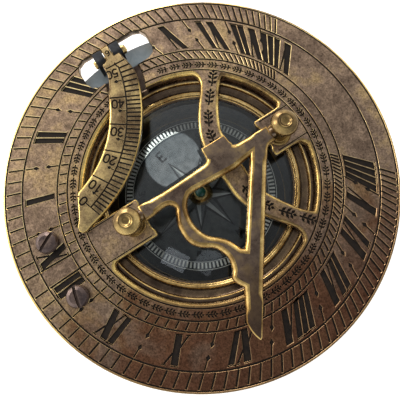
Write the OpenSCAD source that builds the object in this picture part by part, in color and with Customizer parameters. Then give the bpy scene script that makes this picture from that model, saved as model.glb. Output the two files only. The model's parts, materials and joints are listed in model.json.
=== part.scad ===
// Folding sundial compass: an hour ring hinged over a compass,
// with a folding gnomon and a folding latitude arc.
// Millimetres. Z is up, +Y is the XII (hinge) side, +X is the arc side.
// The origin is the bottom centre of the base, on the axis of the ring.

/* [Hour ring] */
// Diameter of the hour ring
ring_d = 100; // [60:1:160]
// Thickness of the hour ring
ring_t = 2; // [1.5:0.1:3]
// Height of the underside of the ring above the table
ring_z = 25; // [25:0.5:30]
// Radius of the opening inside the ring
opening_r = 29.3; // [29:0.1:30]
// Width of the bevel round the opening
opening_bevel = 0.8; // [0.2:0.1:1.2]
// Outer line of the outer division band
line_r1 = 49.25; // [48:0.05:49.5]
// Outer line of the numeral band
line_r2 = 44.93; // [44:0.05:46]
// Inner line of the numeral band
line_r3 = 36.0; // [35:0.05:37]
// Outer line of the leaf border
line_r4 = 33.45; // [32:0.05:34]
// Inner line of the leaf border
line_r5 = 30.4; // [30.2:0.05:31]
// Width of the engraved circles
line_w = 0.28; // [0.1:0.02:0.5]
// Depth of the engraved circles
line_depth = 0.2; // [0.05:0.05:0.4]

/* [Strap and lugs] */
// Width of the strap over the middle
strap_w = 6.2; // [5:0.1:8]
// North edge of the strap on the noon line
strap_y = -5.9; // [-7:0.1:-5]
// Half width of the lug of the north post
north_lug_w = 5.4; // [4:0.1:6]
// Inner end of the lug of the north post
north_lug_y = 15.8; // [14:0.1:17]
// Half width of the lug of the south post
south_lug_w = 5.2; // [4:0.1:6]
// Inner end of the lug of the south post
south_lug_y = -20.7; // [-22:0.1:-20]

/* [Slot for the latitude arc] */
// Inner edge of the slot
slot_x0 = 36.0; // [35:0.1:37]
// Outer edge of the slot
slot_x1 = 44.9; // [44:0.1:45.5]
// South end of the slot
slot_y0 = -9.5; // [-12:0.1:-8]
// North end of the slot
slot_y1 = 10.7; // [9:0.1:13]
// Gap between the passage and the outer edge of the folded arc
passage_gap = 1.25; // [1:0.05:1.5]
// Gap between the passage and the inner edge of the folded arc
passage_gap_in = 0.15; // [0.1:0.05:0.3]

/* [Gnomon] */
// Height of the gnomon axis over the ring
gnomon_h = 6.2; // [6:0.1:8]
// Thickness of the gnomon
gnomon_t = 2.4; // [1.6:0.1:3]
// Reach of the heel from the axis
heel_reach = 5.85; // [4:0.05:5.9]
// Position of the north post
north_post_y = 19.1; // [18:0.1:21]
// Position of the south post
south_post_y = -23.9; // [-26:0.1:-23]
// Diameter of the pivot pins
gnomon_pin_d = 1.6; // [1.2:0.1:2]

/* [Posts] */
// Diameter of the body of a post
post_d = 4.8; // [4:0.1:5.4]
// Diameter of the head of a post
post_head_d = 6.6; // [5:0.1:8]
// Height of the head over the gnomon axis
post_head_h = 1.7; // [1.6:0.1:2.5]

/* [Latitude arc] */
// Centre of the folded arc, X
arc_cx = 42.4; // [40:0.1:44]
// Centre of the folded arc, Y
arc_cy = 33.0; // [31:0.1:35]
// Outer radius of the arc
arc_r1 = 36.1; // [34:0.05:38]
// Inner radius of the arc
arc_r0 = 27.6; // [26:0.05:29]
// How fast the arc opens towards its free end, in mm of radius for each degree
arc_open = 0.03; // [0:0.005:0.06]
// Thickness of the arc
arc_t = 1.5; // [1:0.1:2]
// Gap between the ring and the folded arc
arc_gap = 0.4; // [0.3:0.05:1]
// Fold axis of the arc, X
arc_ax = 42.0; // [41.5:0.1:42.5]
// Fold axis of the arc, height
arc_az = 26.3; // [26:0.1:27]
// Angle from the root to the free end of the arc
arc_angle = 87; // [80:0.5:88]
// Diameter of the arc pin
arc_pin_d = 1.5; // [1:0.1:1.8]

/* [Hinge] */
// Hinge axis, Y
hinge_y = 36.8; // [36:0.1:37]
// Hinge axis, height
hinge_z = 23.5; // [23.2:0.1:23.5]
// Width of the hinge
hinge_w = 22; // [16:0.5:26]
// Diameter of the knuckles
knuckle_d = 2.4; // [2:0.1:2.4]
// Diameter of the hinge pin
hinge_pin_d = 1.2; // [1:0.1:1.3]
// Thickness of the leaves
leaf_t = 0.9; // [0.7:0.1:1]
// Spacing of the two slotted screws
screw_pitch = 15.4; // [12:0.1:18]
// Position of the two slotted screws, Y
screw_y = 39.6; // [38:0.1:41]
// Head diameter of the slotted screws
screw_head_d = 5.6; // [4.5:0.1:6]

/* [Compass] */
// Radius of the base plate
base_r = 36; // [34:0.5:38]
// Thickness of the base plate
base_t = 3.2; // [3:0.1:4]
// Outer radius of the bowl
bowl_r = 30.6; // [30:0.1:30.8]
// Inner radius of the bowl
bowl_ri = 25.2; // [24.5:0.1:25.5]
// Top of the bowl
bowl_top = 20; // [19:0.1:20]
// Top of the floor inside the bowl
floor_z = 6.2; // [6:0.1:7]
// Inner radius of the lip of the bezel
bezel_ri = 24.4; // [24:0.1:24.8]
// Top of the bezel
bezel_top = 24.0; // [23.5:0.1:24.2]
// Radius of the glass
glass_r = 26.2; // [25.5:0.1:26.3]
// Thickness of the glass
glass_t = 1.5; // [1:0.1:1.5]
// Radius of the compass card
card_r = 22; // [20:0.1:22.5]
// Top of the compass card
card_z = 12; // [11:0.1:14]
// Thickness of the compass card
card_t = 0.5; // [0.4:0.1:1]

/* [Hidden] */
$fn = 96;
e = 0.01;
ring_r = ring_d / 2;
ring_top = ring_z + ring_t;
axis_z = ring_top + gnomon_h;
arc_z = ring_top + arc_gap;
fit = 0.02;
run = 0.05;
head_z = axis_z + post_head_h;
lug_n0 = 3.0;
lug_n1 = 5.6;
lug_s0 = -2.1;
lug_s1 = 0.55;
tongue_y0 = 0.75;
tongue_y1 = 2.8;

// ---------- helpers ----------

// one point of a smooth curve through four points
function cr(a, b, c, d, t) = 0.5 * ((2 * b) + (c - a) * t + (2 * a - 5 * b + 4 * c - d) * t * t + (3 * b - a - 3 * c + d) * t * t * t);
// smooth open curve through a list of points
function smooth(p, n = 5) = concat(
    [for (i = [0 : len(p) - 2]) for (k = [0 : n - 1])
        cr(p[max(i - 1, 0)], p[i], p[i + 1], p[min(i + 2, len(p) - 1)], k / n)],
    [p[len(p) - 1]]);
// the other side of a symmetric outline, in reverse order
function mirrored(p) = [for (i = [len(p) - 1 : -1 : 0]) [-p[i][0], p[i][1]]];

// round bar along Y
module ybar(x, y0, y1, z, r) {
    translate([x, y0, z]) rotate([-90, 0, 0]) cylinder(r = r, h = y1 - y0);
}
// round bar along X
module xbar(x0, x1, y, z, r) {
    translate([x0, y, z]) rotate([0, 90, 0]) cylinder(r = r, h = x1 - x0);
}
// box between two corners
module box(a, b) { translate(a) cube(b - a); }

// ---------- hour ring ----------

// north edge of the strap, from the noon line to the ring
strap_north = smooth([[0, strap_y], [3.8, strap_y], [7, strap_y - 0.1], [10.4, strap_y - 0.9], [14, strap_y - 2.6],
    [17.5, strap_y - 4.9], [20.6, strap_y - 7.4], [22.9, strap_y - 8.7], [25.2, strap_y - 8.5], [28.4, strap_y - 5.4]]);
// south edge of the strap, from the ring to the noon line
strap_south = smooth([[18.6, strap_y - 18.2], [20.9, strap_y - 15.9], [20.9, strap_y - 14.4], [19, strap_y - 12.3], [16.3, strap_y - 10.4],
    [13.4, strap_y - 8.6], [9.6, strap_y - strap_w - 0.5], [6.6, strap_y - strap_w], [0, strap_y - strap_w]]);

module strap_2d() {
    half = concat(strap_north, [[30.2, strap_y - 6], [22, strap_y - 17]], strap_south);
    polygon(concat(half, mirrored(half)));
}

// inner end of a lug: square, with a small bead at each corner
function lug_end(w) = smooth([[w, -0.5], [w, 0.05], [w - 0.35, 0.35], [w - 1.1, 0.42], [w - 1.8, 0.3], [w - 2.4, 0.05], [w - 3.4, 0], [0, 0]], 4);

module north_lug_2d() {
    w = north_lug_w;
    s = [for (q = lug_end(w)) [q[0], north_lug_y - q[1]]];
    side = concat([[w + 2.0, 30.4], [w + 1.9, 28.6]], smooth([[w + 1.7, 28.5], [w + 0.75, 28.25], [w + 0.15, 27.6], [w, 26.6]], 4), s);
    polygon(concat(side, mirrored(side)));
}

module south_lug_2d() {
    w = south_lug_w;
    s = [for (q = lug_end(w)) [q[0], south_lug_y + q[1]]];
    side = concat([[w + 2.0, -30.4], [w + 1.9, -28.7]], smooth([[w + 1.8, -28.6], [w + 0.8, -28.1], [w + 0.15, -27.4], [w, -26.4]], 4), s);
    translate([0.9, 0]) polygon(concat(side, mirrored(side)));
}

module slot_2d() {
    c = 2.6;
    polygon([[slot_x0 + c, slot_y0], [slot_x1 - c, slot_y0], [slot_x1 - 0.8, slot_y0 + 0.8], [slot_x1, slot_y0 + c],
        [slot_x1, slot_y1 - c], [slot_x1 - 0.8, slot_y1 - 0.8], [slot_x1 - c, slot_y1],
        [slot_x0 + c, slot_y1], [slot_x0 + 0.8, slot_y1 - 0.8], [slot_x0, slot_y1 - c],
        [slot_x0, slot_y0 + c], [slot_x0 + 0.8, slot_y0 + 0.8]]);
}

// passage below the folded arc, from the slot to the middle opening
module passage_2d() {
    a0 = 10; a1 = 33;
    polygon(concat(
        [for (a = [a0 : 1 : a1]) [arc_cx - (arc_r1 + passage_gap) * sin(a), arc_cy - (arc_r1 + passage_gap) * cos(a)]],
        [for (a = [a1 : -1 : a0 - 3]) [arc_cx - (arc_r0 - passage_gap_in) * sin(a), arc_cy - (arc_r0 - passage_gap_in) * cos(a)]]));
}

module dial_plate() {
    color([0.66, 0.52, 0.32])
    difference() {
        union() {
            rotate_extrude($fn = 180) polygon([
                [opening_r + opening_bevel, ring_z], [ring_r - 0.5, ring_z], [ring_r, ring_z + 0.5],
                [ring_r, ring_top - 0.4], [ring_r - 0.4, ring_top], [opening_r + opening_bevel, ring_top],
                [opening_r + opening_bevel * 0.3, ring_top - opening_bevel * 0.3],
                [opening_r, ring_top - opening_bevel], [opening_r, ring_z + 0.3], [opening_r + 0.3, ring_z]]);
            translate([0, 0, ring_z]) linear_extrude(ring_t) intersection() {
                union() { strap_2d(); north_lug_2d(); south_lug_2d(); }
                circle(r = opening_r + opening_bevel + 0.4, $fn = 180);
            }
        }
        translate([0, 0, ring_z - 1]) linear_extrude(ring_t + 2) slot_2d();
        translate([0, 0, ring_z - 1]) linear_extrude(ring_t + 2) passage_2d();
        for (r = [line_r1, line_r2, line_r3, line_r4, line_r5])
            translate([0, 0, ring_top - line_depth]) difference() {
                cylinder(r = r + line_w / 2, h = 1, $fn = 180);
                translate([0, 0, -1]) cylinder(r = r - line_w / 2, h = 3, $fn = 180);
            }
        for (s = [-1, 1]) translate([s * screw_pitch / 2, screw_y, ring_z - 1]) cylinder(r = 1.5 + fit, h = 4);
        for (y = [north_post_y, south_post_y]) translate([0, y, ring_z - 1]) cylinder(r = 1.5 + fit, h = 4);
    }
}

// ---------- hinge ----------

k_n = 5;
k_gap = 0.12;
k_len = hinge_w / k_n;
module knuckles(first) {
    for (i = [first : 2 : k_n - 1])
        xbar(-hinge_w / 2 + i * k_len + k_gap, -hinge_w / 2 + (i + 1) * k_len - k_gap, hinge_y, hinge_z, knuckle_d / 2);
}

module hinge_upper_leaf() {
    color([0.62, 0.5, 0.32])
    difference() {
        union() {
            difference() {
                box([-hinge_w / 2, hinge_y, ring_z - leaf_t], [hinge_w / 2, screw_y + 4.6, ring_z]);
                for (i = [0 : 2 : k_n - 1])
                    box([-hinge_w / 2 + i * k_len - k_gap - e, hinge_y - 3, ring_z - 3], [-hinge_w / 2 + (i + 1) * k_len + k_gap, hinge_y + knuckle_d / 2 + 0.5, ring_z + 1]);
            }
            knuckles(1);
        }
        xbar(-hinge_w, hinge_w, hinge_y, hinge_z, hinge_pin_d / 2 + run);
        for (s = [-1, 1]) translate([s * screw_pitch / 2, screw_y, ring_z - 3]) cylinder(r = 1.5 + fit, h = 4);
    }
}

module hinge_lower_leaf() {
    y0 = bowl_r + 0.8;
    color([0.6, 0.48, 0.3])
    difference() {
        union() {
            difference() {
                union() {
                    box([-9, y0, 8], [9, y0 + 1.2, hinge_z + 0.4]);
                    box([-hinge_w / 2, y0, hinge_z - 2.2], [hinge_w / 2, hinge_y, hinge_z - 0.9]);
                }
                for (i = [1 : 2 : k_n - 1])
                    box([-hinge_w / 2 + i * k_len - k_gap, hinge_y - knuckle_d / 2 - 0.4, hinge_z - 3], [-hinge_w / 2 + (i + 1) * k_len + k_gap, hinge_y + 3, hinge_z + 3]);
                box([-20, y0 - 1, hinge_z - 0.9], [20, y0 + 3, hinge_z + 3]);
            }
            knuckles(0);
        }
        xbar(-hinge_w, hinge_w, hinge_y, hinge_z, hinge_pin_d / 2 + fit);
        for (s = [-1, 1]) translate([s * 6, y0 - 1, 13]) rotate([-90, 0, 0]) cylinder(r = 1 + fit, h = 4);
    }
}

module hinge_pin() {
    color([0.55, 0.5, 0.42]) union() {
        xbar(-hinge_w / 2 - 0.6, hinge_w / 2 + 0.6, hinge_y, hinge_z, hinge_pin_d / 2);
        xbar(-hinge_w / 2 - 1.2, -hinge_w / 2 - 0.02, hinge_y, hinge_z, 1.1);
        xbar(hinge_w / 2 + 0.02, hinge_w / 2 + 1.2, hinge_y, hinge_z, 1.1);
    }
}

// slotted screw, head up, with its shank below z = 0
module slotted_screw(rh, hh, rs, ls, sw, a = 0) {
    difference() {
        union() {
            rotate_extrude() polygon([[0, 0], [rh - 0.2, 0], [rh, 0.25], [rh, hh * 0.45], [rh - 0.35, hh * 0.75], [rh * 0.6, hh * 0.96], [0, hh]]);
            translate([0, 0, -ls]) cylinder(r = rs, h = ls + e);
        }
        rotate([0, 0, a]) box([-rh - 1, -sw / 2, hh * 0.45], [rh + 1, sw / 2, hh + 1]);
    }
}

module hinge_screws() {
    color([0.2, 0.17, 0.17]) {
        translate([screw_pitch / 2, screw_y, ring_top]) slotted_screw(screw_head_d / 2, 1.8, 1.5, 2.6, 0.8, 118);
        translate([-screw_pitch / 2, screw_y, ring_top]) slotted_screw(screw_head_d / 2, 1.8, 1.5, 2.6, 0.8, 168);
    }
}

module hinge_lower_screws() {
    y0 = bowl_r + 2.0;
    color([0.5, 0.42, 0.28])
    for (s = [-1, 1]) translate([s * 6, y0, 13]) rotate([-90, 0, 0]) slotted_screw(1.8, 1.0, 1, 4, 0.5, 35);
}

// ---------- gnomon and posts ----------

// west side of the gnomon, from the north end of the bar round the scroll to the tip
gnomon_scroll_out = smooth([[-2.0, 15.6], [-1.95, 13.5], [-1.6, 10.4], [-1.9, 9.0], [-3.0, 8.3], [-4.6, 9.0], [-7.1, 10.0], [-11, 10.0], [-13.7, 8.4],
    [-15.3, 6.1], [-16.6, 4.9], [-19.1, 4.15], [-21.7, 4.6], [-23.4, 5.8], [-25.0, 5.6], [-26.7, 4.6]], 4);
gnomon_tip = [[-33.3, 8.55], [-34.9, 8.5], [-38.1, 7.85], [-37.7, 7.1]];
gnomon_root = smooth([[-2.75, -17.6], [-2.2, -18.4], [-2.0, -19.4], [-2.0, -20.4]], 4);
gnomon_heel = smooth([[2.2, -12.4], [2.5, -11.5], [3.4, -10.95], [heel_reach - 1.2, -10.8]], 4);
gnomon_heel_n = smooth([[heel_reach - 1.2, -4.2], [3.2, -4.1], [2.4, -3.6], [2.1, -2.6]], 4);

module gnomon_2d() {
    difference() {
        polygon(concat(gnomon_scroll_out, gnomon_tip, gnomon_root, [[2.0, -20.4]], gnomon_heel, gnomon_heel_n,
            [[1.9, 3], [1.75, 9], [2.0, 15.6]]));
        polygon(concat(
            [[-2.05, -13.1]], [[-2.7, -8.8], [-2.4, -3.1], [-2.0, 2.4]],
            smooth([[-2.2, 3.6], [-3.4, 5.1], [-5.3, 6.1], [-8.6, 6.5], [-12.1, 5.4], [-14.1, 3.4], [-15.9, 1.75], [-19.0, 0.35]], 4),
            [[-19.5, -0.3]]));
    }
}

module gnomon() {
    color([0.63, 0.5, 0.32])
    difference() {
        union() {
            translate([0, 0, axis_z - gnomon_t / 2]) linear_extrude(gnomon_t) gnomon_2d();
            ybar(heel_reach - 1.2, -10.8, -4.2, axis_z, 1.2);
            ybar(0, 15, north_post_y - post_d / 2 - 0.3, axis_z, gnomon_t / 2);
            ybar(0, south_post_y + post_d / 2 + 0.3, -20, axis_z, gnomon_t / 2);
        }
        ybar(0, 13.6, 30, axis_z, gnomon_pin_d / 2 + fit);
        ybar(0, -35, -18.4, axis_z, gnomon_pin_d / 2 + fit);
    }
}

module gnomon_pins() {
    color([0.75, 0.66, 0.4]) {
        ybar(0, 13.7, north_post_y - 0.6, axis_z, gnomon_pin_d / 2);
        ybar(0, south_post_y + 0.6, -18.5, axis_z, gnomon_pin_d / 2);
    }
}

// post with a stepped button head; its tail fills the hole in the ring
module post(y, dir) {
    rb = post_d / 2;
    rh = post_head_d / 2;
    difference() {
        translate([0, y, 0]) rotate_extrude() polygon([
            [0, ring_z + 0.1], [1.5, ring_z + 0.1], [1.5, ring_top + 0.8], [rb, ring_top + 0.8], [rb - 0.4, ring_top + 1.8],
            [rb - 0.4, axis_z - 2.2], [rb, axis_z - 1.6], [rb, head_z - 0.2], [rh - 0.5, head_z], [rh, head_z + 0.5], [rh, head_z + 0.95],
            [rh - 0.15, head_z + 1.4], [rh - 0.5, head_z + 1.85], [rh - 1.0, head_z + 2.22], [rh - 1.4, head_z + 2.42],
            [rh - 1.7, head_z + 2.5], [rh - 1.95, head_z + 2.42], [rh - 2.2, head_z + 2.2], [rh - 2.55, head_z + 2.0], [0, head_z + 1.9]]);
        if (dir > 0) ybar(0, y - 0.4, y + 10, axis_z, gnomon_pin_d / 2 + run);
        else ybar(0, y - 10, y + 0.4, axis_z, gnomon_pin_d / 2 + run);
        if (dir > 0) ybar(0, y + 0.3, y + 0.4, axis_z, gnomon_pin_d / 2 + run);
    }
}
module north_post() { color([0.72, 0.58, 0.3]) post(north_post_y, -1); }
module south_post() { color([0.72, 0.58, 0.3]) post(south_post_y, 1); }

module post_collars() {
    color([0.4, 0.33, 0.22])
    for (y = [north_post_y, south_post_y]) translate([0, y, ring_top]) rotate_extrude()
        polygon([[1.5 + fit, 0], [3.1, 0], [3.1, 0.4], [2.8, 0.78], [1.5 + fit, 0.78]]);
}

// ---------- latitude arc ----------

function arc_grow(a) = a < 26 ? 0 : a < 38 ? arc_open * (a - 26) * (a - 26) / 24 : arc_open * (a - 32);

// point of the arc: radius at the root, angle from the south
function arc_pt(r, a) = [arc_cx - (r + arc_grow(a)) * sin(a), arc_cy - (r + arc_grow(a)) * cos(a)];

module latitude_arc_2d() {
    x1 = arc_ax - 1.65;
    polygon(concat(
        [[x1, tongue_y0]],
        [for (q = smooth([[x1 - 0.05, -0.85], [x1 - 1.85, -1.3], [x1 - 3.35, -1.6], [x1 - 5.75, -1.85], [x1 - 8.2, -1.65]], 4)) q],
        [for (a = [18 : 2 : 82]) arc_pt(arc_r1, a)],
        [arc_pt(arc_r1 + 0.3, arc_angle - 2.2), arc_pt(arc_r1 + 0.1, arc_angle - 0.8), arc_pt(arc_r1 - 0.7, arc_angle),
         arc_pt(arc_r1 - 1.9, arc_angle - 0.4), arc_pt(arc_r1 - 2.9, arc_angle - 2.2), arc_pt(arc_r0 + 2.6, arc_angle - 5.4),
         arc_pt(arc_r0 + 0.5, arc_angle - 8.2), arc_pt(arc_r0, arc_angle - 10)],
        [for (a = [arc_angle - 12 : -2 : 20]) arc_pt(arc_r0, a)],
        [for (q = smooth([[x1 - 7.3, 6.55], [x1 - 4.95, 5.4], [x1 - 2.95, 4.8], [x1 - 0.75, 4.6], [x1 - 0.5, 3.8]], 4)) q],
        [[x1, tongue_y1]]));
}

module latitude_arc() {
    color([0.74, 0.6, 0.32])
    difference() {
        union() {
            translate([0, 0, arc_z]) linear_extrude(arc_t) latitude_arc_2d();
            box([arc_ax - 1.9, tongue_y0, arc_z], [arc_ax + 1.9, tongue_y1, arc_z + arc_t]);
            ybar(arc_ax, tongue_y0, tongue_y1, arc_az, 1.5);
            box([arc_ax - 1.5, tongue_y0, arc_az], [arc_ax + 1.5, tongue_y1, arc_z + 0.2]);
        }
        ybar(arc_ax, -10, 10, arc_az, arc_pin_d / 2 + run);
    }
}

module arc_bracket() {
    x0 = bowl_r + 0.8;
    color([0.22, 0.2, 0.2])
    difference() {
        union() {
            box([x0, lug_s0 - 1.9, 8.5], [x0 + 1.4, lug_n1 + 1.9, 21.4]);
            box([x0, lug_s0, 20], [arc_ax + 2.3, lug_n1, 21.8]);
            intersection() {
                box([x0, -10.2, 20], [arc_ax + 2.3, 11.2, 21.8]);
                translate([0, 0, 19]) cylinder(r = 43.7, h = 4, $fn = 180);
            }
            for (y = [[lug_s0, lug_s1], [lug_n0, lug_n1]]) {
                box([arc_ax - 1.5, y[0], 20], [arc_ax + 2.3, y[1], arc_az]);
                ybar(arc_ax, y[0], y[1], arc_az, 1.5);
                box([arc_ax, y[0], arc_az - e], [arc_ax + 2.3, y[1], arc_az + 1.5]);
            }
        }
        ybar(arc_ax, -10, 10, arc_az, arc_pin_d / 2 + fit);
        for (z = [11.5, 16.5]) xbar(x0 - 1, x0 + 3, (lug_s0 + lug_n1) / 2, z, 1 + fit);
    }
}

module arc_bracket_screws() {
    x0 = bowl_r + 2.2;
    color([0.5, 0.42, 0.28])
    for (z = [11.5, 16.5]) translate([x0, (lug_s0 + lug_n1) / 2, z]) rotate([0, 90, 0]) slotted_screw(1.8, 1.0, 1, 4, 0.5, 20 + z * 5);
}

module arc_pin() {
    color([0.8, 0.66, 0.34]) union() {
        ybar(arc_ax, lug_s0 - 0.4, lug_n1 + 0.7, arc_az, arc_pin_d / 2);
        translate([arc_ax, lug_s0 - 0.02, arc_az]) rotate([90, 0, 0]) rotate_extrude()
            polygon([[0, 0], [1.25, 0], [1.25, 0.7], [1.0, 1.05], [0.5, 1.25], [0, 1.3]]);
        translate([arc_ax, lug_n1 + 0.02, arc_az]) rotate([-90, 0, 0]) rotate_extrude()
            polygon([[0, 0], [1.1, 0], [1.1, 0.4], [0.8, 0.7], [0, 0.8]]);
    }
}

// ---------- compass ----------

module base_plate() {
    color([0.6, 0.47, 0.29])
    difference() {
        rotate_extrude($fn = 180) polygon([[0, 0], [base_r - 0.5, 0], [base_r, 0.5], [base_r, 1.2], [base_r - 0.6, 1.7],
            [base_r - 1.5, 1.8], [base_r - 2.4, 2.1], [base_r - 3.0, 2.7], [base_r - 3.2, base_t], [0, base_t]]);
        for (i = [0 : 2]) rotate([0, 0, 30 + 120 * i]) translate([23, 0, 0]) {
            translate([0, 0, -1]) cylinder(r = 1.25 + fit, h = 10);
            translate([0, 0, -1]) cylinder(r = 2.5, h = 2.6);
        }
    }
}

module base_screws() {
    color([0.3, 0.26, 0.22])
    for (i = [0 : 2]) rotate([0, 0, 30 + 120 * i]) translate([23, 0, 1.6]) mirror([0, 0, 1]) slotted_screw(2.2, 1.2, 1.25, 3.6, 0.6, 40);
}

module compass_bowl() {
    color([0.58, 0.46, 0.28])
    difference() {
        union() {
            rotate_extrude($fn = 180) polygon([
                [0, base_t], [bowl_r - 0.4, base_t], [bowl_r, base_t + 0.6], [bowl_r, base_t + 2.4], [bowl_r - 0.7, base_t + 3.0], [bowl_r - 0.7, base_t + 3.6], [bowl_r, base_t + 4.2],
                [bowl_r, 17.6], [bowl_r - 0.5, 18.3], [bowl_r - 2.0, 18.3], [bowl_r - 2.0, bowl_top], [bowl_ri, bowl_top], [bowl_ri, floor_z], [0, floor_z]]);
            difference() {
                union() {
                    box([-9, 26.5, 7.6], [9, bowl_r + 0.8, 17.2]);
                    box([26.5, lug_s0 - 1.9, 7.6], [bowl_r + 0.8, lug_n1 + 1.9, 17.2]);
                }
                translate([0, 0, floor_z]) cylinder(r = bowl_ri + 1, h = 20, $fn = 180);
            }
        }
        for (i = [0 : 2]) rotate([0, 0, 30 + 120 * i]) translate([23, 0, 0]) cylinder(r = 1.25 + fit, h = 5.4);
        for (s = [-1, 1]) translate([s * 6, bowl_r - 2.1, 13]) rotate([-90, 0, 0]) cylinder(r = 1 + fit, h = 6);
        for (z = [11.5, 16.5]) xbar(bowl_r - 2.0, bowl_r + 3, (lug_s0 + lug_n1) / 2, z, 1 + fit);
        translate([0, 0, -1]) cylinder(r = 1.6 + fit, h = 20);
    }
}

module bowl_liner() {
    color([0.1, 0.1, 0.11])
    translate([0, 0, floor_z]) difference() {
        cylinder(r = bowl_ri - 0.2, h = 0.3, $fn = 120);
        translate([0, 0, -1]) cylinder(r = 4.4, h = 3);
    }
}

module pivot_post() {
    color([0.75, 0.72, 0.66])
    rotate_extrude() polygon([[0, base_t + 0.1], [1.6, base_t + 0.1], [1.6, floor_z], [4.2, floor_z], [4.2, floor_z + 0.6], [3.6, floor_z + 1.1],
        [1.2, floor_z + 1.4], [0.75, floor_z + 2.6], [0.7, card_z - 0.6], [0.12, card_z + 1.6], [0, card_z + 1.7]]);
}

module glass_gasket() {
    color([0.15, 0.13, 0.12])
    translate([0, 0, bowl_top]) difference() {
        cylinder(r = glass_r, h = 0.45, $fn = 120);
        translate([0, 0, -1]) cylinder(r = bezel_ri + 0.5, h = 3, $fn = 120);
    }
}

module crystal_glass() {
    color([0.8, 0.85, 0.85, 0.3])
    translate([0, 0, bowl_top + 0.45]) rotate_extrude($fn = 120)
        polygon([[0, 0], [glass_r, 0], [glass_r, glass_t - 0.2], [glass_r - 0.2, glass_t], [0, glass_t]]);
}

module bezel_ring() {
    zl = bowl_top + 0.45 + glass_t;
    color([0.5, 0.4, 0.25])
    rotate_extrude($fn = 180) polygon([
        [bowl_r - 2.0 + fit, 18.4], [bowl_r - 0.2, 18.4], [bowl_r, 18.7], [bowl_r, bezel_top - 0.9], [bowl_r - 0.4, bezel_top - 0.2],
        [bowl_r - 1.0, bezel_top], [bowl_r - 1.9, bezel_top], [bowl_r - 2.2, bezel_top - 0.35], [bowl_r - 2.3, bezel_top - 0.8],
        [27.3, bezel_top - 0.8], [27.2, bezel_top - 0.55], [26.9, bezel_top - 0.45], [26.6, bezel_top - 0.6], [26.4, bezel_top - 1.0],
        [25.6, bezel_top - 1.15], [25.4, bezel_top - 1.4], [24.9, bezel_top - 1.45], [24.7, bezel_top - 1.25],
        [bezel_ri, bezel_top - 1.4], [bezel_ri, zl], [glass_r + 0.1, zl], [glass_r + 0.1, bowl_top + e], [bowl_r - 2.0 + fit, bowl_top + e]]);
}

module compass_card() {
    color([0.16, 0.17, 0.18])
    translate([0, 0, card_z - card_t]) difference() {
        cylinder(r = card_r, h = card_t, $fn = 120);
        translate([0, 0, -1]) cylinder(r = 2.2 + fit, h = 3);
    }
}

module card_magnet() {
    color([0.35, 0.37, 0.42])
    difference() {
        translate([0, 0, card_z - card_t - 1.4]) linear_extrude(1.4)
            polygon([[-17, -1.4], [-14, -2.6], [14, -2.6], [17, -1.4], [17, 1.4], [14, 2.6], [-14, 2.6], [-17, 1.4]]);
        translate([0, 0, 0]) cylinder(r = 2.2 + fit, h = 30);
    }
}

module card_hub() {
    color([0.72, 0.5, 0.28])
    rotate_extrude() polygon([[1.3, card_z - card_t - 1.9], [2.2, card_z - card_t - 1.9], [2.2, card_z], [3.4, card_z], [3.5, card_z + 0.3], [3.4, card_z + 0.9],
        [2.9, card_z + 1.7], [2.2, card_z + 2.5], [1.8, card_z + 2.8], [1.5 + fit, card_z + 2.8], [1.5 + fit, card_z + 2.0], [1.3, card_z + 2.0]]);
}

module card_jewel() {
    color([0.05, 0.25, 0.18])
    rotate_extrude() polygon([[0, card_z + 2.25], [0.5, card_z + 2.1], [0.9, card_z + 2.0], [1.5, card_z + 2.0], [1.5, card_z + 2.8], [1.2, card_z + 3.15], [0.6, card_z + 3.35], [0, card_z + 3.4]]);
}

// ---------- draw ----------

base_plate();
base_screws();
compass_bowl();
bowl_liner();
pivot_post();
glass_gasket();
crystal_glass();
bezel_ring();
compass_card();
card_magnet();
card_hub();
card_jewel();
hinge_lower_leaf();
hinge_lower_screws();
hinge_pin();
arc_bracket();
arc_bracket_screws();
arc_pin();
latitude_arc();
dial_plate();
hinge_upper_leaf();
hinge_screws();
post_collars();
north_post();
south_post();
gnomon();
gnomon_pins();
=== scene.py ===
import json
import math
import random

import bmesh
import bpy
from mathutils import Matrix, Vector

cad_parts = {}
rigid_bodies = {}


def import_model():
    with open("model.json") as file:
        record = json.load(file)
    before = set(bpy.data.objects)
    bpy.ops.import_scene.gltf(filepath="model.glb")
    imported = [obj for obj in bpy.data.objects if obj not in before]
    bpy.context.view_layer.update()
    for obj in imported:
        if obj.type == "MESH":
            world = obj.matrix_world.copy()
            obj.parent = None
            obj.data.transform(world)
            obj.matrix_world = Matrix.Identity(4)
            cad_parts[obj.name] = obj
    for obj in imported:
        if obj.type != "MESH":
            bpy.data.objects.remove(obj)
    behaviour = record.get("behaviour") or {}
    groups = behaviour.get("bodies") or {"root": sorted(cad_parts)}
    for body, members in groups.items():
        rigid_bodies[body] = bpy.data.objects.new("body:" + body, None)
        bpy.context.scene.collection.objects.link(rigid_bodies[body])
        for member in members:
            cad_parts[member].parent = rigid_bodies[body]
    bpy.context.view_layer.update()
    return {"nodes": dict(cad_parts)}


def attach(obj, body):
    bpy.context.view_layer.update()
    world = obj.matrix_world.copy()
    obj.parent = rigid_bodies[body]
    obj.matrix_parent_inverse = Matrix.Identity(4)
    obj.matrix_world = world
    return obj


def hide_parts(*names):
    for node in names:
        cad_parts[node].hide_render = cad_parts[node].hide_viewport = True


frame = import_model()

MM = 0.001
NODES = frame["nodes"]
random.seed(7)


# ------------------------------------------------------------------ curves and outlines (millimetres)

def cr(a, b, c, d, t):
    return 0.5 * ((2 * b) + (c - a) * t + (2 * a - 5 * b + 4 * c - d) * t * t + (3 * b - a - 3 * c + d) * t ** 3)


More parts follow.
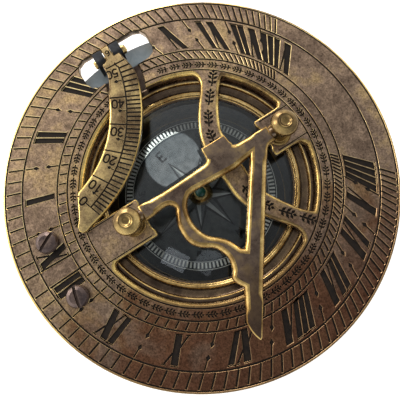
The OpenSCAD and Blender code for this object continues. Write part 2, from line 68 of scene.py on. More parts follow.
def smooth(p, n=5):
    out = []
    for i in range(len(p) - 1):
        q = [p[max(i - 1, 0)], p[i], p[i + 1], p[min(i + 2, len(p) - 1)]]
        for k in range(n):
            t = k / n
            out.append((cr(q[0][0], q[1][0], q[2][0], q[3][0], t), cr(q[0][1], q[1][1], q[2][1], q[3][1], t)))
    return out + [tuple(p[-1])]


def mirrored(p):
    return [(-x, y) for x, y in reversed(p)]


def area(p):
    return 0.5 * sum(p[i][0] * p[(i + 1) % len(p)][1] - p[(i + 1) % len(p)][0] * p[i][1] for i in range(len(p)))


def ccw(p):
    return list(p) if area(p) > 0 else list(reversed(p))


def tidy(p, d=0.03):
    out = []
    for q in p:
        if not out or math.hypot(q[0] - out[-1][0], q[1] - out[-1][1]) > d:
            out.append(q)
    while len(out) > 3 and math.hypot(out[0][0] - out[-1][0], out[0][1] - out[-1][1]) < d:
        out.pop()
    return out


def offset(p, d, limit=2.2):
    """Closed outline moved outward by d (a number or one per point); for a counter-clockwise outline outward is out."""
    n, out = len(p), []
    for i in range(n):
        a, b, c = Vector(p[i - 1]), Vector(p[i]), Vector(p[(i + 1) % n])
        u, v = (b - a), (c - b)
        u = u.normalized() if u.length > 1e-9 else Vector((1, 0))
        v = v.normalized() if v.length > 1e-9 else u
        nu, nv = Vector((u.y, -u.x)), Vector((v.y, -v.x))
        m = nu + nv
        if m.length < 1e-6:
            m = nu
        m.normalize()
        k = 1 / max(m.dot(nu), 1 / limit)
        w = (d[i] if isinstance(d, (list, tuple)) else d) * k
        out.append((b.x + m.x * w, b.y + m.y * w))
    return out


def offset_in(p, d):
    """Offset in which edges that would turn round are drawn together."""
    q = [Vector(v) for v in offset(p, d)]
    n = len(p)
    for _ in range(8):
        hit = False
        for i in range(n):
            j = (i + 1) % n
            o = Vector(p[j]) - Vector(p[i])
            if o.length < 1e-9:
                continue
            o.normalize()
            if (q[j] - q[i]).dot(o) < 1e-4:
                mid = (q[i] + q[j]) / 2
                q[i], q[j] = mid - o * 1.5e-4, mid + o * 1.5e-4
                hit = True
        if not hit:
            break
    return [(v.x, v.y) for v in q]


def dense(p, step=1.5):
    """Outline with extra points on its long edges."""
    out = []
    for i in range(len(p)):
        a, b = Vector(p[i]), Vector(p[(i + 1) % len(p)])
        k = max(1, int((b - a).length / step))
        out += [tuple(a + (b - a) * j / k) for j in range(k)]
    return out


def circle(r, n=180, cx=0.0, cy=0.0):
    return [(cx + r * math.cos(2 * math.pi * i / n), cy + r * math.sin(2 * math.pi * i / n)) for i in range(n)]


# ------------------------------------------------------------------ meshes

def new_mesh(name, verts, faces, mats=None, smooth_deg=None, mm=True):
    me = bpy.data.meshes.new(name)
    s = MM if mm else 1.0
    me.from_pydata([(x * s, y * s, z * s) for x, y, z in verts], [], faces)
    me.update()
    if mats:
        for f, m in zip(me.polygons, mats):
            f.material_index = m
    o = bpy.data.objects.new(name, me)
    bpy.context.scene.collection.objects.link(o)
    if smooth_deg:
        shade(o, smooth_deg)
    return o


def shade(o, deg=35):
    me = o.data
    for f in me.polygons:
        f.use_smooth = True
    me.set_sharp_from_angle(angle=math.radians(deg))


class Build:
    """A mesh put together from several closed shells, each with its material index."""

    def __init__(self):
        self.v, self.f, self.m = [], [], []

    def add(self, verts, faces, mat=0):
        o = len(self.v)
        self.v += verts
        self.f += [tuple(o + i for i in f) for f in faces]
        self.m += mat if isinstance(mat, list) else [mat] * len(faces)

    def layers(self, rings, mats, cap0=0, cap1=0):
        """rings: outlines (same number of points, counter-clockwise) as lists of (x, y, z), top first."""
        n = len(rings[0])
        verts = [q for r in rings for q in r]
        faces, ms = [tuple(range(n))], [cap0]
        for k in range(len(rings) - 1):
            for i in range(n):
                j = (i + 1) % n
                faces.append(((k + 1) * n + i, (k + 1) * n + j, k * n + j, k * n + i))
                ms.append(mats[k])
        o = (len(rings) - 1) * n
        faces.append(tuple(reversed(range(o, o + n))))
        ms.append(cap1)
        self.add(verts, faces, ms)

    def prism(self, poly, z0, z1, mat=0):
        poly = ccw(poly)
        self.layers([[(x, y, z1) for x, y in poly], [(x, y, z0) for x, y in poly]], [mat], mat, mat)

    def obj(self, name, smooth_deg=None):
        o = new_mesh(name, self.v, self.f, None, smooth_deg)
        slots(o, self.m)
        return o


def slots(o, ms):
    """Four plain material slots, so that a cut keeps each face's index."""
    for i in range(4):
        k = "slot_%d" % i
        o.data.materials.append(bpy.data.materials.get(k) or bpy.data.materials.new(k))
    for f, m in zip(o.data.polygons, ms):
        f.material_index = m


def open_edges(o):
    bm = bmesh.new()
    bm.from_mesh(o.data)
    n = sum(1 for e in bm.edges if len(e.link_faces) != 2)
    bm.free()
    return n


def boolean(o, cutter, op="DIFFERENCE", keep=False):
    n0 = len(o.data.polygons)
    m = o.modifiers.new("b", "BOOLEAN")
    m.operation, m.solver, m.object = op, "MANIFOLD", cutter
    bpy.context.view_layer.update()
    dg = bpy.context.evaluated_depsgraph_get()
    me = bpy.data.meshes.new_from_object(o.evaluated_get(dg))
    o.modifiers.clear()
    old = o.data
    o.data = me
    bpy.data.meshes.remove(old)
    if len(o.data.polygons) == n0:
        print("NO CHANGE", o.name, op, n0, "open edges", open_edges(o), open_edges(cutter))
    if not keep:
        drop(cutter)
    return o


def drop(o):
    me = o.data
    bpy.data.objects.remove(o)
    bpy.data.meshes.remove(me)


def loops_on_top(o, z):
    """Closed outlines of the flat top at height z (mm) of a mesh."""
    bm = bmesh.new()
    bm.from_mesh(o.data)
    bm.normal_update()
    nxt, co = {}, {}
    for f in bm.faces:
        if f.normal.z > 0.9 and abs(f.calc_center_median().z / MM - z) < 0.01:
            for l in f.loops:
                e = l.edge
                if any(g is not f and g.normal.z < 0.9 for g in e.link_faces):
                    a, b = l.vert, l.link_loop_next.vert
                    nxt[a.index] = b.index
                    co[a.index] = (a.co.x / MM, a.co.y / MM)
                    co[b.index] = (b.co.x / MM, b.co.y / MM)
    bm.free()
    out = []
    while nxt:
        s, _ = next(iter(nxt.items()))
        loop = [s]
        n = nxt.pop(s)
        while n != s and n in nxt:
            loop.append(n)
            n = nxt.pop(n)
        out.append(tidy([co[i] for i in loop], 0.06))
    return sorted([p for p in out if abs(area(p)) > 1], key=lambda p: -abs(area(p)))


def cut_up(o):
    """Large flat faces are split into triangles, so that later cuts keep small faces."""
    bm = bmesh.new()
    bm.from_mesh(o.data)
    bmesh.ops.triangulate(bm, faces=[f for f in bm.faces if len(f.verts) > 4])
    bm.to_mesh(o.data)
    bm.free()


def slab(name, loops, z0, z1, top_b, bot_b=0.15, seg=4, mats=(0, 0, 0)):
    """Flat piece with rounded edges. loops: the outer outline, then holes. top_b: a function of a point, the edge's radius."""
    body = None
    for k, p in enumerate(loops):
        p = ccw(p)
        sgn = -1 if k == 0 else 1
        tb = [top_b(q) for q in p]
        bb = [bot_b] * len(p)
        rings, ms = [], []
        if k:
            rings.append([(x, y, z1 + 2) for x, y in offset(p, [b + 0.3 for b in tb])])
            ms.append(mats[1])
        for j in range(seg + 1):
            a = math.pi / 2 * j / seg
            q = offset_in(p, [sgn * b * (1 - math.sin(a)) for b in tb])
            rings.append([(x, y, z1 - b * (1 - math.cos(a))) for (x, y), b in zip(q, tb)])
            ms.append(mats[1] if j < seg else mats[2])
        for j in range(3):
            a = math.pi / 2 * (1 - j / 2)
            q = offset_in(p, [sgn * b * (1 - math.sin(a)) for b in bb])
            rings.append([(x, y, z0 + b * (1 - math.cos(a))) for (x, y), b in zip(q, bb)])
            ms.append(mats[2])
        if k:
            rings.append([(x, y, z0 - 2) for x, y in offset(p, [b + 0.1 for b in bb])])
        b = Build()
        b.layers(rings, ms[:len(rings) - 1], mats[0], mats[0])
        o = b.obj(name if k == 0 else "hole")
        if k == 0:
            body = o
            cut_up(body)
        else:
            boolean(body, o)
    cut_up(body)
    return body


def grooves(polys, top, depth=0.22, c=0.06):
    """Cutter for engraved shapes: sloped edges (material 1) that take a brighter gold, a painted highlight, and
    blackened walls and floor (material 2).
    """
    b = Build()
    for p in polys:
        p = ccw(p)
        out = offset(p, c + 0.05)
        rings = [[(x, y, top + 0.05) for x, y in out],
                 [(x, y, top - c) for x, y in p],
                 [(x, y, top - depth) for x, y in p]]
        b.layers(rings, [1, 2], 2, 2)
    return b.obj("cut")


def band(r, w, top, depth, n=240, a0=None, a1=None, cx=0.0, cy=0.0):
    """One engraved circle, or part of one (angles in degrees), as an outline."""
    if a0 is None:
        return None
    m = max(2, int(n * abs(a1 - a0) / 360))
    pts = [math.radians(a0 + (a1 - a0) * i / m) for i in range(m + 1)]
    return [(cx + (r + w / 2) * math.cos(a), cy + (r + w / 2) * math.sin(a)) for a in pts] + \
           [(cx + (r - w / 2) * math.cos(a), cy + (r - w / 2) * math.sin(a)) for a in reversed(pts)]


def line_poly(a, b, w):
    a, b = Vector(a), Vector(b)
    d = (b - a).normalized()
    n = Vector((-d.y, d.x)) * (w / 2)
    return [tuple(a + n), tuple(a - n), tuple(b - n), tuple(b + n)]


def ribbon(path, w):
    """Outline of a line of width w along an open path."""
    l, r = [], []
    for i, q in enumerate(path):
        a = Vector(path[max(i - 1, 0)])
        b = Vector(path[min(i + 1, len(path) - 1)])
        d = (b - a).normalized()
        n = Vector((-d.y, d.x)) * (w / 2)
        l.append((q[0] + n.x, q[1] + n.y))
        r.append((q[0] - n.x, q[1] - n.y))
    return l + r[::-1]


# ------------------------------------------------------------------ materials

def mat_new(name):
    m = bpy.data.materials.new(name)
    m.use_nodes = True
    nt = m.node_tree
    nt.nodes.clear()
    return m, nt


def N(nt, kind, **kw):
    n = nt.nodes.new(kind)
    for k, v in kw.items():
        setattr(n, k, v)
    return n


def noise(nt, coord, scale, detail=4.0, rough=0.55, dist=0.0):
    n = N(nt, "ShaderNodeTexNoise")
    n.inputs["Scale"].default_value = scale
    n.inputs["Detail"].default_value = detail
    n.inputs["Roughness"].default_value = rough
    n.inputs["Distortion"].default_value = dist
    nt.links.new(coord, n.inputs["Vector"])
    return n.outputs["Fac"]


def ramp(nt, fac, stops, interp="LINEAR"):
    r = N(nt, "ShaderNodeValToRGB")
    r.color_ramp.interpolation = interp
    el = r.color_ramp.elements
    while len(el) > 1:
        el.remove(el[-1])
    el[0].position, el[0].color = stops[0][0], (*stops[0][1], 1)
    for p, c in stops[1:]:
        e = el.new(p)
        e.color = (*c, 1)
    nt.links.new(fac, r.inputs["Fac"])
    return r.outputs["Color"]


def grey(nt, fac, a, b, lo=0.0, hi=1.0):
    m = N(nt, "ShaderNodeMapRange")
    m.clamp = True
    m.inputs["From Min"].default_value = a
    m.inputs["From Max"].default_value = b
    m.inputs["To Min"].default_value = lo
    m.inputs["To Max"].default_value = hi
    nt.links.new(fac, m.inputs["Value"])
    return m.outputs["Result"]


def mix(nt, fac, a, b, blend="MIX"):
    m = N(nt, "ShaderNodeMix", data_type="RGBA", blend_type=blend)
    for s, v in ((0, fac), (6, a), (7, b)):
        if isinstance(v, (int, float)):
            m.inputs[s].default_value = v
        elif isinstance(v, tuple):
            m.inputs[s].default_value = (*v, 1)
        else:
            nt.links.new(v, m.inputs[s])
    return m.outputs[2]


def math_(nt, op, a, b=None, c=None):
    m = N(nt, "ShaderNodeMath", operation=op)
    for s, v in enumerate((a, b, c)):
        if v is None:
            continue
        if isinstance(v, (int, float)):
            m.inputs[s].default_value = v
        else:
            nt.links.new(v, m.inputs[s])
    return m.outputs[0]


def along(nt, coord, d):
    """Distance along a direction of the part, in millimetres."""
    v = N(nt, "ShaderNodeVectorMath", operation="DOT_PRODUCT")
    nt.links.new(coord, v.inputs[0])
    v.inputs[1].default_value = (d[0] * 1000, d[1] * 1000, d[2] * 1000)
    return v.outputs["Value"]


def edge_mask(nt, radius=0.0004, samples=4):
    """1 where two faces meet in an outer or inner edge."""
    b = N(nt, "ShaderNodeBevel")
    b.samples = samples
    b.inputs["Radius"].default_value = radius
    g = N(nt, "ShaderNodeNewGeometry")
    d = N(nt, "ShaderNodeVectorMath", operation="DOT_PRODUCT")
    nt.links.new(b.outputs["Normal"], d.inputs[0])
    nt.links.new(g.outputs["Normal"], d.inputs[1])
    return grey(nt, d.outputs["Value"], 0.99, 0.80, 0.0, 1.0)


def finish_mat(nt, color, rough, metallic=1.0, bump=None, bump_strength=0.2, bump_dist=0.00005, extra=None):
    p = N(nt, "ShaderNodeBsdfPrincipled")
    out = N(nt, "ShaderNodeOutputMaterial")
    for sock, v in (("Base Color", color), ("Roughness", rough), ("Metallic", metallic)):
        if isinstance(v, tuple):
            p.inputs[sock].default_value = (*v, 1)
        elif isinstance(v, (int, float)):
            p.inputs[sock].default_value = v
        else:
            nt.links.new(v, p.inputs[sock])
    if bump is not None:
        b = N(nt, "ShaderNodeBump")
        b.inputs["Strength"].default_value = bump_strength
        b.inputs["Distance"].default_value = bump_dist
        nt.links.new(bump, b.inputs["Height"])
        nt.links.new(b.outputs["Normal"], p.inputs["Normal"])
    for k, v in (extra or {}).items():
        p.inputs[k].default_value = v
    nt.links.new(p.outputs[0], out.inputs[0])
    return p


LIT_SIDE = (0.5344, 0.8453, 0.0)      # towards the lamps: the side painted lighter and more golden (painted light)
DOWN = (-0.8453, 0.5344, 0.0)     # towards the side painted red-brown and darker (painted shade)


def brass(name, dark, mid, gold, rough=(0.30, 0.48), edge=0.8, gold_bias=0.0, red=0.0, seed=0.0, metal=1.0, edge_r=0.0004, bump=0.25, side=1.0, edge_col=None, grain=0.34, red_col=(0.20, 0.085, 0.045), slot_dark=0.0, red_at=(0.45, 1.0)):
    """Antique brass: brown patina in blotches, fine mottling and scratches, burnished edges; painted light makes it
    lighter and yellower towards the lamps, and painted shade makes it redder and darker away from them and, if asked,
    round the slot.
    """
    m, nt = mat_new(name)
    tc = N(nt, "ShaderNodeTexCoord")
    mp = N(nt, "ShaderNodeMapping")
    mp.inputs["Location"].default_value = (seed, seed * 1.7, seed * 0.6)
    nt.links.new(tc.outputs["Object"], mp.inputs["Vector"])
    co = mp.outputs["Vector"]
    n1 = noise(nt, co, 70, 5, 0.6, 0.6)
    n2 = noise(nt, co, 330, 6, 0.65, 0.3)
    n3 = noise(nt, co, 2600, 3, 0.6)
    base = ramp(nt, math_(nt, "ADD", math_(nt, "MULTIPLY", n1, 0.62), math_(nt, "MULTIPLY", n2, 0.38)),
                [(0.41, dark), (0.50, mid), (0.61, gold)])
    # painted light: lighter and yellower towards the lamps, mixed with random blotches
    obj = tc.outputs["Object"]
    l = math_(nt, "ADD", math_(nt, "MULTIPLY", along(nt, obj, LIT_SIDE), 0.011 * side), math_(nt, "MULTIPLY", math_(nt, "SUBTRACT", n1, 0.5), 1.6))
    lf = grey(nt, l, 0.08 - gold_bias, 0.95 - gold_bias, 0.0, 0.75)
    col = mix(nt, lf, base, gold)
    if red:
        # painted shade: redder and darker towards the side away from the lamps, standing in for dim brown reflections
        # there
        d = math_(nt, "ADD", math_(nt, "MULTIPLY", along(nt, obj, (-0.985, 0.126, 0.0)), 0.03), math_(nt, "MULTIPLY", math_(nt, "SUBTRACT", n1, 0.5), 2.2))
        col = mix(nt, grey(nt, d, red_at[0], red_at[1], 0.0, red), col, red_col)
    if slot_dark:
        # painted shade: the edges round the slot and the root of the arc darkened, for the shade beside the arc
        sx = grey(nt, along(nt, obj, (1, 0, 0)), 28.0, 31.0, 0.0, slot_dark)
        sy = grey(nt, math_(nt, "ABSOLUTE", math_(nt, "SUBTRACT", along(nt, obj, (0, 1, 0)), 0.8)), 12.6, 11.2, 0.0, 1.0)
        sr = grey(nt, along(nt, obj, (1, 0, 0)), 47.2, 46.2, 0.0, 1.0)
        col = mix(nt, math_(nt, "MULTIPLY", math_(nt, "MULTIPLY", sx, sy), sr), col, (0.06, 0.04, 0.028))
    # fine mottling
    n4 = noise(nt, co, 1250, 5, 0.7, 0.4)
    fine = math_(nt, "ADD", math_(nt, "MULTIPLY", n3, 0.45), math_(nt, "MULTIPLY", n4, 0.55))
    col = mix(nt, 1.0, col, grey(nt, fine, 0.38, 0.62, 1.0 - grain, 1.0 + grain * 0.8), "MULTIPLY")
    # dark specks
    vo = N(nt, "ShaderNodeTexVoronoi")
    vo.inputs["Scale"].default_value = 260
    nt.links.new(co, vo.inputs["Vector"])
    spots = math_(nt, "MULTIPLY", grey(nt, vo.outputs["Distance"], 0.16, 0.05, 0.0, 1.0), grey(nt, n2, 0.52, 0.62, 0.0, 0.55))
    col = mix(nt, spots, col, tuple(c * 0.45 for c in dark))
    r = grey(nt, math_(nt, "ADD", math_(nt, "MULTIPLY", n2, 0.6), math_(nt, "MULTIPLY", n3, 0.4)), 0.35, 0.65, rough[0], rough[1])
    if edge:
        em = math_(nt, "MULTIPLY", edge_mask(nt, edge_r), edge)
        em = math_(nt, "MULTIPLY", em, grey(nt, n2, 0.3, 0.6, 0.55, 1.0))
        col = mix(nt, em, col, edge_col or tuple(min(1.0, c * 1.45) for c in gold))
        r = math_(nt, "SUBTRACT", r, math_(nt, "MULTIPLY", em, 0.08))
    finish_mat(nt, col, r, metal, bump=n3, bump_strength=bump, bump_dist=0.00003)
    return m


def ink(name="ink"):
    m, nt = mat_new(name)
    tc = N(nt, "ShaderNodeTexCoord")
    n = noise(nt, tc.outputs["Object"], 900, 4)
    col = ramp(nt, n, [(0.3, (0.004, 0.003, 0.003)), (0.7, (0.018, 0.012, 0.008))])
    finish_mat(nt, col, grey(nt, n, 0.3, 0.7, 0.55, 0.8), 0.0, bump=n, bump_strength=0.3, bump_dist=0.00004, extra={"Specular IOR Level": 0.15})
    return m


def blackened(name, a=(0.018, 0.016, 0.018), b=(0.07, 0.055, 0.05), seed=0.0, edge=0.5, rough=(0.3, 0.5), edge_col=(0.32, 0.25, 0.18)):
    m, nt = mat_new(name)
    tc = N(nt, "ShaderNodeTexCoord")
    mp = N(nt, "ShaderNodeMapping")
    mp.inputs["Location"].default_value = (seed, seed, seed)
    nt.links.new(tc.outputs["Object"], mp.inputs["Vector"])
    n1 = noise(nt, mp.outputs["Vector"], 350, 5, 0.6, 0.5)
    n2 = noise(nt, mp.outputs["Vector"], 2200, 3)
    col = ramp(nt, n1, [(0.35, a), (0.65, b)])
    em = math_(nt, "MULTIPLY", edge_mask(nt, 0.00025), edge)
    em = math_(nt, "MULTIPLY", em, grey(nt, n1, 0.35, 0.6, 0.2, 1.0))
    col = mix(nt, em, col, edge_col)
    finish_mat(nt, col, grey(nt, n2, 0.35, 0.65, rough[0], rough[1]), 0.9, bump=n2, bump_strength=0.35, bump_dist=0.00004)
    return m


def satin(name, a, b, rough, metal=0.0, scale=600.0, bump=0.15, extra=None):
    m, nt = mat_new(name)
    tc = N(nt, "ShaderNodeTexCoord")
    n1 = noise(nt, tc.outputs["Object"], scale, 4)
    n2 = noise(nt, tc.outputs["Object"], scale * 5, 3)
    col = ramp(nt, n1, [(0.35, a), (0.65, b)])
    finish_mat(nt, col, grey(nt, n2, 0.3, 0.7, rough[0], rough[1]), metal, bump=n2, bump_strength=bump, bump_dist=0.00002, extra=extra)
    return m


def set_mats(o, *mats):
    idx = [f.material_index for f in o.data.polygons]
    o.data.materials.clear()
    for m in mats:
        o.data.materials.append(m)
    for f, i in zip(o.data.polygons, idx):
        f.material_index = min(i, len(mats) - 1)


DARK, MID, GOLD = (0.16, 0.105, 0.062), (0.30, 0.215, 0.135), (0.52, 0.385, 0.17)
M_PLATE = brass("plate_brass", (0.20, 0.138, 0.099), (0.298, 0.210, 0.148), (0.42, 0.295, 0.155), rough=(0.28, 0.44), edge=0.0, red=0.9, seed=0.3, grain=0.5, side=0.5, red_col=(0.135, 0.056, 0.030))
# rounded rims: rubbed brass with a painted highlight, brighter gold and stronger towards the lamps, and painted shade
# round the slot
M_RIM_BURNISH_AND_PAINTED_LIGHT = brass("plate_edge", (0.17, 0.11, 0.05), (0.40, 0.27, 0.10), (0.88, 0.64, 0.22), rough=(0.20, 0.32), edge=0.0, seed=1.1, side=1.6, gold_bias=0.3, grain=0.2, red=0.85, red_col=(0.17, 0.10, 0.045), slot_dark=0.9, red_at=(0.35, 0.8))
# engraving chamfers: brighter gold, a painted highlight along every engraved edge
M_CHAM = brass("engraving_edge", (0.22, 0.15, 0.085), (0.44, 0.32, 0.17), (0.95, 0.75, 0.38), rough=(0.25, 0.38), edge=0.0, seed=2.1, side=1.6, gold_bias=0.15, grain=0.2, red=0.85, red_col=(0.20, 0.115, 0.062), red_at=(0.3, 0.85))
M_INK = ink()
# gnomon top painted dark (painted shade) and its rounded edges painted bright gold (painted highlight on rubbed edges)
M_GNOMON = brass("gnomon_brass", (0.10, 0.070, 0.056), (0.185, 0.136, 0.103), (0.36, 0.255, 0.125), rough=(0.24, 0.38), edge=0.0, seed=4.0, side=0.5, grain=0.14, red=0.85, red_col=(0.10, 0.062, 0.042))
M_GNOMON_E = brass("gnomon_edge", (0.20, 0.115, 0.038), (0.44, 0.285, 0.10), (0.74, 0.53, 0.20), rough=(0.18, 0.30), edge=0.0, seed=4.6, side=0.5, grain=0.14)
M_ARC = brass("arc_brass", (0.16, 0.108, 0.058), (0.31, 0.225, 0.12), (0.56, 0.42, 0.19), rough=(0.24, 0.38), edge=0.0, gold_bias=0.1, seed=6.2, side=0.6, grain=0.28)
M_POST = brass("post_brass", (0.13, 0.085, 0.038), (0.29, 0.20, 0.08), (0.55, 0.39, 0.15), rough=(0.18, 0.28), edge=0.0, gold_bias=0.05, seed=7.4, side=0.4, grain=0.12)
M_BODY = brass("body_brass", DARK, MID, GOLD, rough=(0.26, 0.42), edge=0.7, seed=9.0, side=0.7)
# bezel body painted dark (painted shade) and its beads painted bright gold (painted highlight)
M_BEZEL = brass("bezel_brass", (0.055, 0.037, 0.026), (0.105, 0.073, 0.050), (0.17, 0.12, 0.072), rough=(0.20, 0.32), edge=0.0, seed=10.0, side=0.3, grain=0.12)
M_BEAD = brass("bezel_bead", (0.28, 0.18, 0.07), (0.55, 0.38, 0.15), (0.80, 0.60, 0.28), rough=(0.16, 0.26), edge=0.0, seed=11.0, side=0.3, grain=0.12)
M_BLACK = blackened("blackened_steel", a=(0.026, 0.030, 0.034), b=(0.085, 0.095, 0.105))


def bracket_steel():
    """Blackened lugs, painted darker still as shade, on a paler steel foot; the foot is painted dark brown where it
    lies under the ring, as painted shade.
    """
    m, nt = mat_new("bracket_steel")
    tc = N(nt, "ShaderNodeTexCoord")
    obj = tc.outputs["Object"]
    n1 = noise(nt, obj, 350, 5, 0.6, 0.5)
    n2 = noise(nt, obj, 2200, 3)
    # painted shade: near-black lugs, darker than the blackened finish alone, for the shade in the slot
    lug = ramp(nt, n1, [(0.35, (0.010, 0.011, 0.014)), (0.65, (0.032, 0.035, 0.042))])
    foot = ramp(nt, n1, [(0.35, (0.27, 0.335, 0.385)), (0.65, (0.36, 0.43, 0.485))])
    # painted shade: dark brown on the foot where it lies under the ring and the passage
    under_ring_shade = ramp(nt, n1, [(0.35, (0.040, 0.023, 0.016)), (0.65, (0.075, 0.050, 0.036))])
    foot = mix(nt, grey(nt, along(nt, obj, (1, 0, 0)), 38.8, 38.4), foot, under_ring_shade)
    col = mix(nt, grey(nt, along(nt, obj, (0, 0, 1)), 21.9, 22.4), foot, lug)
    em = math_(nt, "MULTIPLY", edge_mask(nt, 0.00025), 0.3)
    col = mix(nt, em, col, (0.20, 0.17, 0.13))
    finish_mat(nt, col, grey(nt, n2, 0.35, 0.65, 0.35, 0.5), 0.6, bump=n2, bump_strength=0.35, bump_dist=0.00004)
    return m


M_BRACKET = bracket_steel()
M_SCREW = blackened("screw_head", (0.06, 0.045, 0.045), (0.16, 0.115, 0.10), seed=3.0, edge=0.6, rough=(0.26, 0.42), edge_col=(0.42, 0.31, 0.22))
M_PIN = brass("pin_brass", (0.36, 0.24, 0.10), (0.60, 0.43, 0.17), (0.85, 0.64, 0.28), rough=(0.2, 0.32), edge=0.3, seed=12.0, side=0.3)


# ------------------------------------------------------------------ hour ring

TOP = 27.0
SY, SW = -5.9, 6.2
strap_north = smooth([(0, SY), (3.8, SY), (7, SY - 0.1), (10.4, SY - 0.9), (14, SY - 2.6), (17.5, SY - 4.9), (20.6, SY - 7.4), (22.9, SY - 8.7), (25.2, SY - 8.5), (28.4, SY - 5.4)])
strap_south = smooth([(18.6, SY - 18.2), (20.9, SY - 15.9), (20.9, SY - 14.4), (19, SY - 12.3), (16.3, SY - 10.4), (13.4, SY - 8.6), (9.6, SY - SW - 0.5), (6.6, SY - SW), (0, SY - SW)])
strap_half = strap_north + [(30.2, SY - 6), (22, SY - 17)] + strap_south
STRAP = tidy(strap_half + mirrored(strap_half))


def lug_end(w):
    return smooth([(w, -0.5), (w, 0.05), (w - 0.35, 0.35), (w - 1.1, 0.42), (w - 1.8, 0.3), (w - 2.4, 0.05), (w - 3.4, 0.0), (0, 0)], 4)


NW, SW_ = 5.4, 5.2
n_side = [(NW + 2.0, 30.4), (NW + 1.9, 28.6)] + smooth([(NW + 1.7, 28.5), (NW + 0.75, 28.25), (NW + 0.15, 27.6), (NW, 26.6)], 4) + [(x, 15.8 - y) for x, y in lug_end(NW)]
NORTH_LUG = tidy(n_side + mirrored(n_side))
s_side = [(SW_ + 2.0, -30.4), (SW_ + 1.9, -28.7)] + smooth([(SW_ + 1.8, -28.6), (SW_ + 0.8, -28.1), (SW_ + 0.15, -27.4), (SW_, -26.4)], 4) + [(x, -20.7 + y) for x, y in lug_end(SW_)]
SOUTH_LUG = tidy([(x + 0.9, y) for x, y in s_side + mirrored(s_side)])
ACX, ACY, AR1, AR0 = 42.4, 33.0, 36.1, 27.6
SX0, SX1, SY0, SY1, C = 36.0, 44.9, -9.5, 10.7, 2.6
SLOT = [(SX0 + C, SY0), (SX1 - C, SY0), (SX1 - 0.8, SY0 + 0.8), (SX1, SY0 + C), (SX1, SY1 - C), (SX1 - 0.8, SY1 - 0.8), (SX1 - C, SY1),
        (SX0 + C, SY1), (SX0 + 0.8, SY1 - 0.8), (SX0, SY1 - C), (SX0, SY0 + C), (SX0 + 0.8, SY0 + 0.8)]


def apt(r, a):
    """Point of the latitude arc: radius at its root, angle from the south; the arc opens a little towards its free end."""
    r += 0 if a < 26 else 0.03 * (a - 26) ** 2 / 24 if a < 38 else 0.03 * (a - 32)
    return (ACX - r * math.sin(math.radians(a)), ACY - r * math.cos(math.radians(a)))


def cpt0(r, a):
    return (ACX - r * math.sin(math.radians(a)), ACY - r * math.cos(math.radians(a)))


PASSAGE = [cpt0(AR1 + 1.25, a) for a in range(10, 34)] + [cpt0(AR0 - 0.15, a) for a in range(33, 6, -1)]


def solid(name, poly, z0, z1):
    b = Build()
    b.prism(tidy(poly), z0, z1)
    return b.obj(name)


blank = solid("blank", circle(50, 360), 25, TOP)
boolean(blank, solid("c", circle(29.3, 240), 20, 30))
for shape in (STRAP, NORTH_LUG, SOUTH_LUG):
    piece = solid("c", shape, 25, TOP)
    boolean(piece, solid("d", circle(30.2, 240), 20, 30), "INTERSECT")
    boolean(blank, piece, "UNION")
boolean(blank, solid("c", SLOT, 20, 30))
boolean(blank, solid("c", PASSAGE, 20, 30))
LOOPS = loops_on_top(blank, TOP)
drop(blank)
print("plate outlines", [(len(p), round(area(p), 1)) for p in LOOPS])


def edge_radius(q):
    x, y = q
    r = math.hypot(x, y)
    if r > 48:
        return 0.5
    if x > 28.5 and -10.5 < y < 12:
        return 0.25
    if abs(x - 0.4) < 6.4 and (13 < y < 27.5 or -27.5 < y < -18):
        return 0.38
    return 0.9 if r > 28.9 else 0.78


plate = slab("hour_ring", LOOPS, 25.0, TOP, edge_radius, 0.2, 4, mats=(0, 3, 0))
# the top in narrow sectors, so that every engraved line meets small faces only
bm = bmesh.new()
bm.from_mesh(plate.data)
for i in range(48):
    a = math.radians(3.75 * i + 1.1)
    bmesh.ops.bisect_plane(bm, geom=bm.verts[:] + bm.edges[:] + bm.faces[:], plane_co=(0, 0, 0), plane_no=(math.cos(a), math.sin(a), 0), dist=1e-7)
bmesh.ops.triangulate(bm, faces=[f for f in bm.faces if len(f.verts) > 4])
bm.to_mesh(plate.data)
bm.free()
MATS = (M_PLATE, M_CHAM, M_INK, M_RIM_BURNISH_AND_PAINTED_LIGHT)

# circles, leaving the slot and the passage out is done by the outlines themselves
circ = Build()


def ring_cutter(r, w, depth, c=0.06):
    b = Build()
    n = 300
    prof = [(r + w / 2 + c + 0.05, TOP + 0.05), (r + w / 2, TOP - c), (r + w / 2, TOP - depth), (r - w / 2, TOP - depth), (r - w / 2, TOP - c), (r - w / 2 - c - 0.05, TOP + 0.05)]
    v, f, m = [], [], []
    for i in range(n):
        a = 2 * math.pi * i / n
        v += [(p * math.cos(a), p * math.sin(a), z) for p, z in prof]
    k = len(prof)
    mm = [1, 2, 2, 2, 1, 2]
    for i in range(n):
        j = (i + 1) % n
        for q in range(k):
            q2 = (q + 1) % k
            f.append((i * k + q, i * k + q2, j * k + q2, j * k + q))
            m.append(mm[q])
    b.add(v, f, m)
    o = b.obj("ring")
    bm = bmesh.new()
    bm.from_mesh(o.data)
    bmesh.ops.recalc_face_normals(bm, faces=bm.faces)
    bm.to_mesh(o.data)
    bm.free()
    return o


for r, w, d in ((49.25, 0.34, 0.24), (44.93, 0.42, 0.24), (36.0, 0.38, 0.24), (33.45, 0.40, 0.24), (30.5, 0.34, 0.24)):
    boolean(plate, ring_cutter(r, w, d))

Q = (0.0, -22.35)


def on_ray(phi, r):
    """Point at radius r from the ring's centre on the ray from Q at phi degrees from noon, positive towards +X."""
    d = (math.sin(math.radians(phi)), math.cos(math.radians(phi)))
    b = Q[1] * d[1]
    t = -b + math.sqrt(b * b - (Q[1] ** 2 - r * r))
    return (Q[0] + d[0] * t, Q[1] + d[1] * t)


def tick_angle(k, side):
    return side * (2.0 + 2.56 * k)


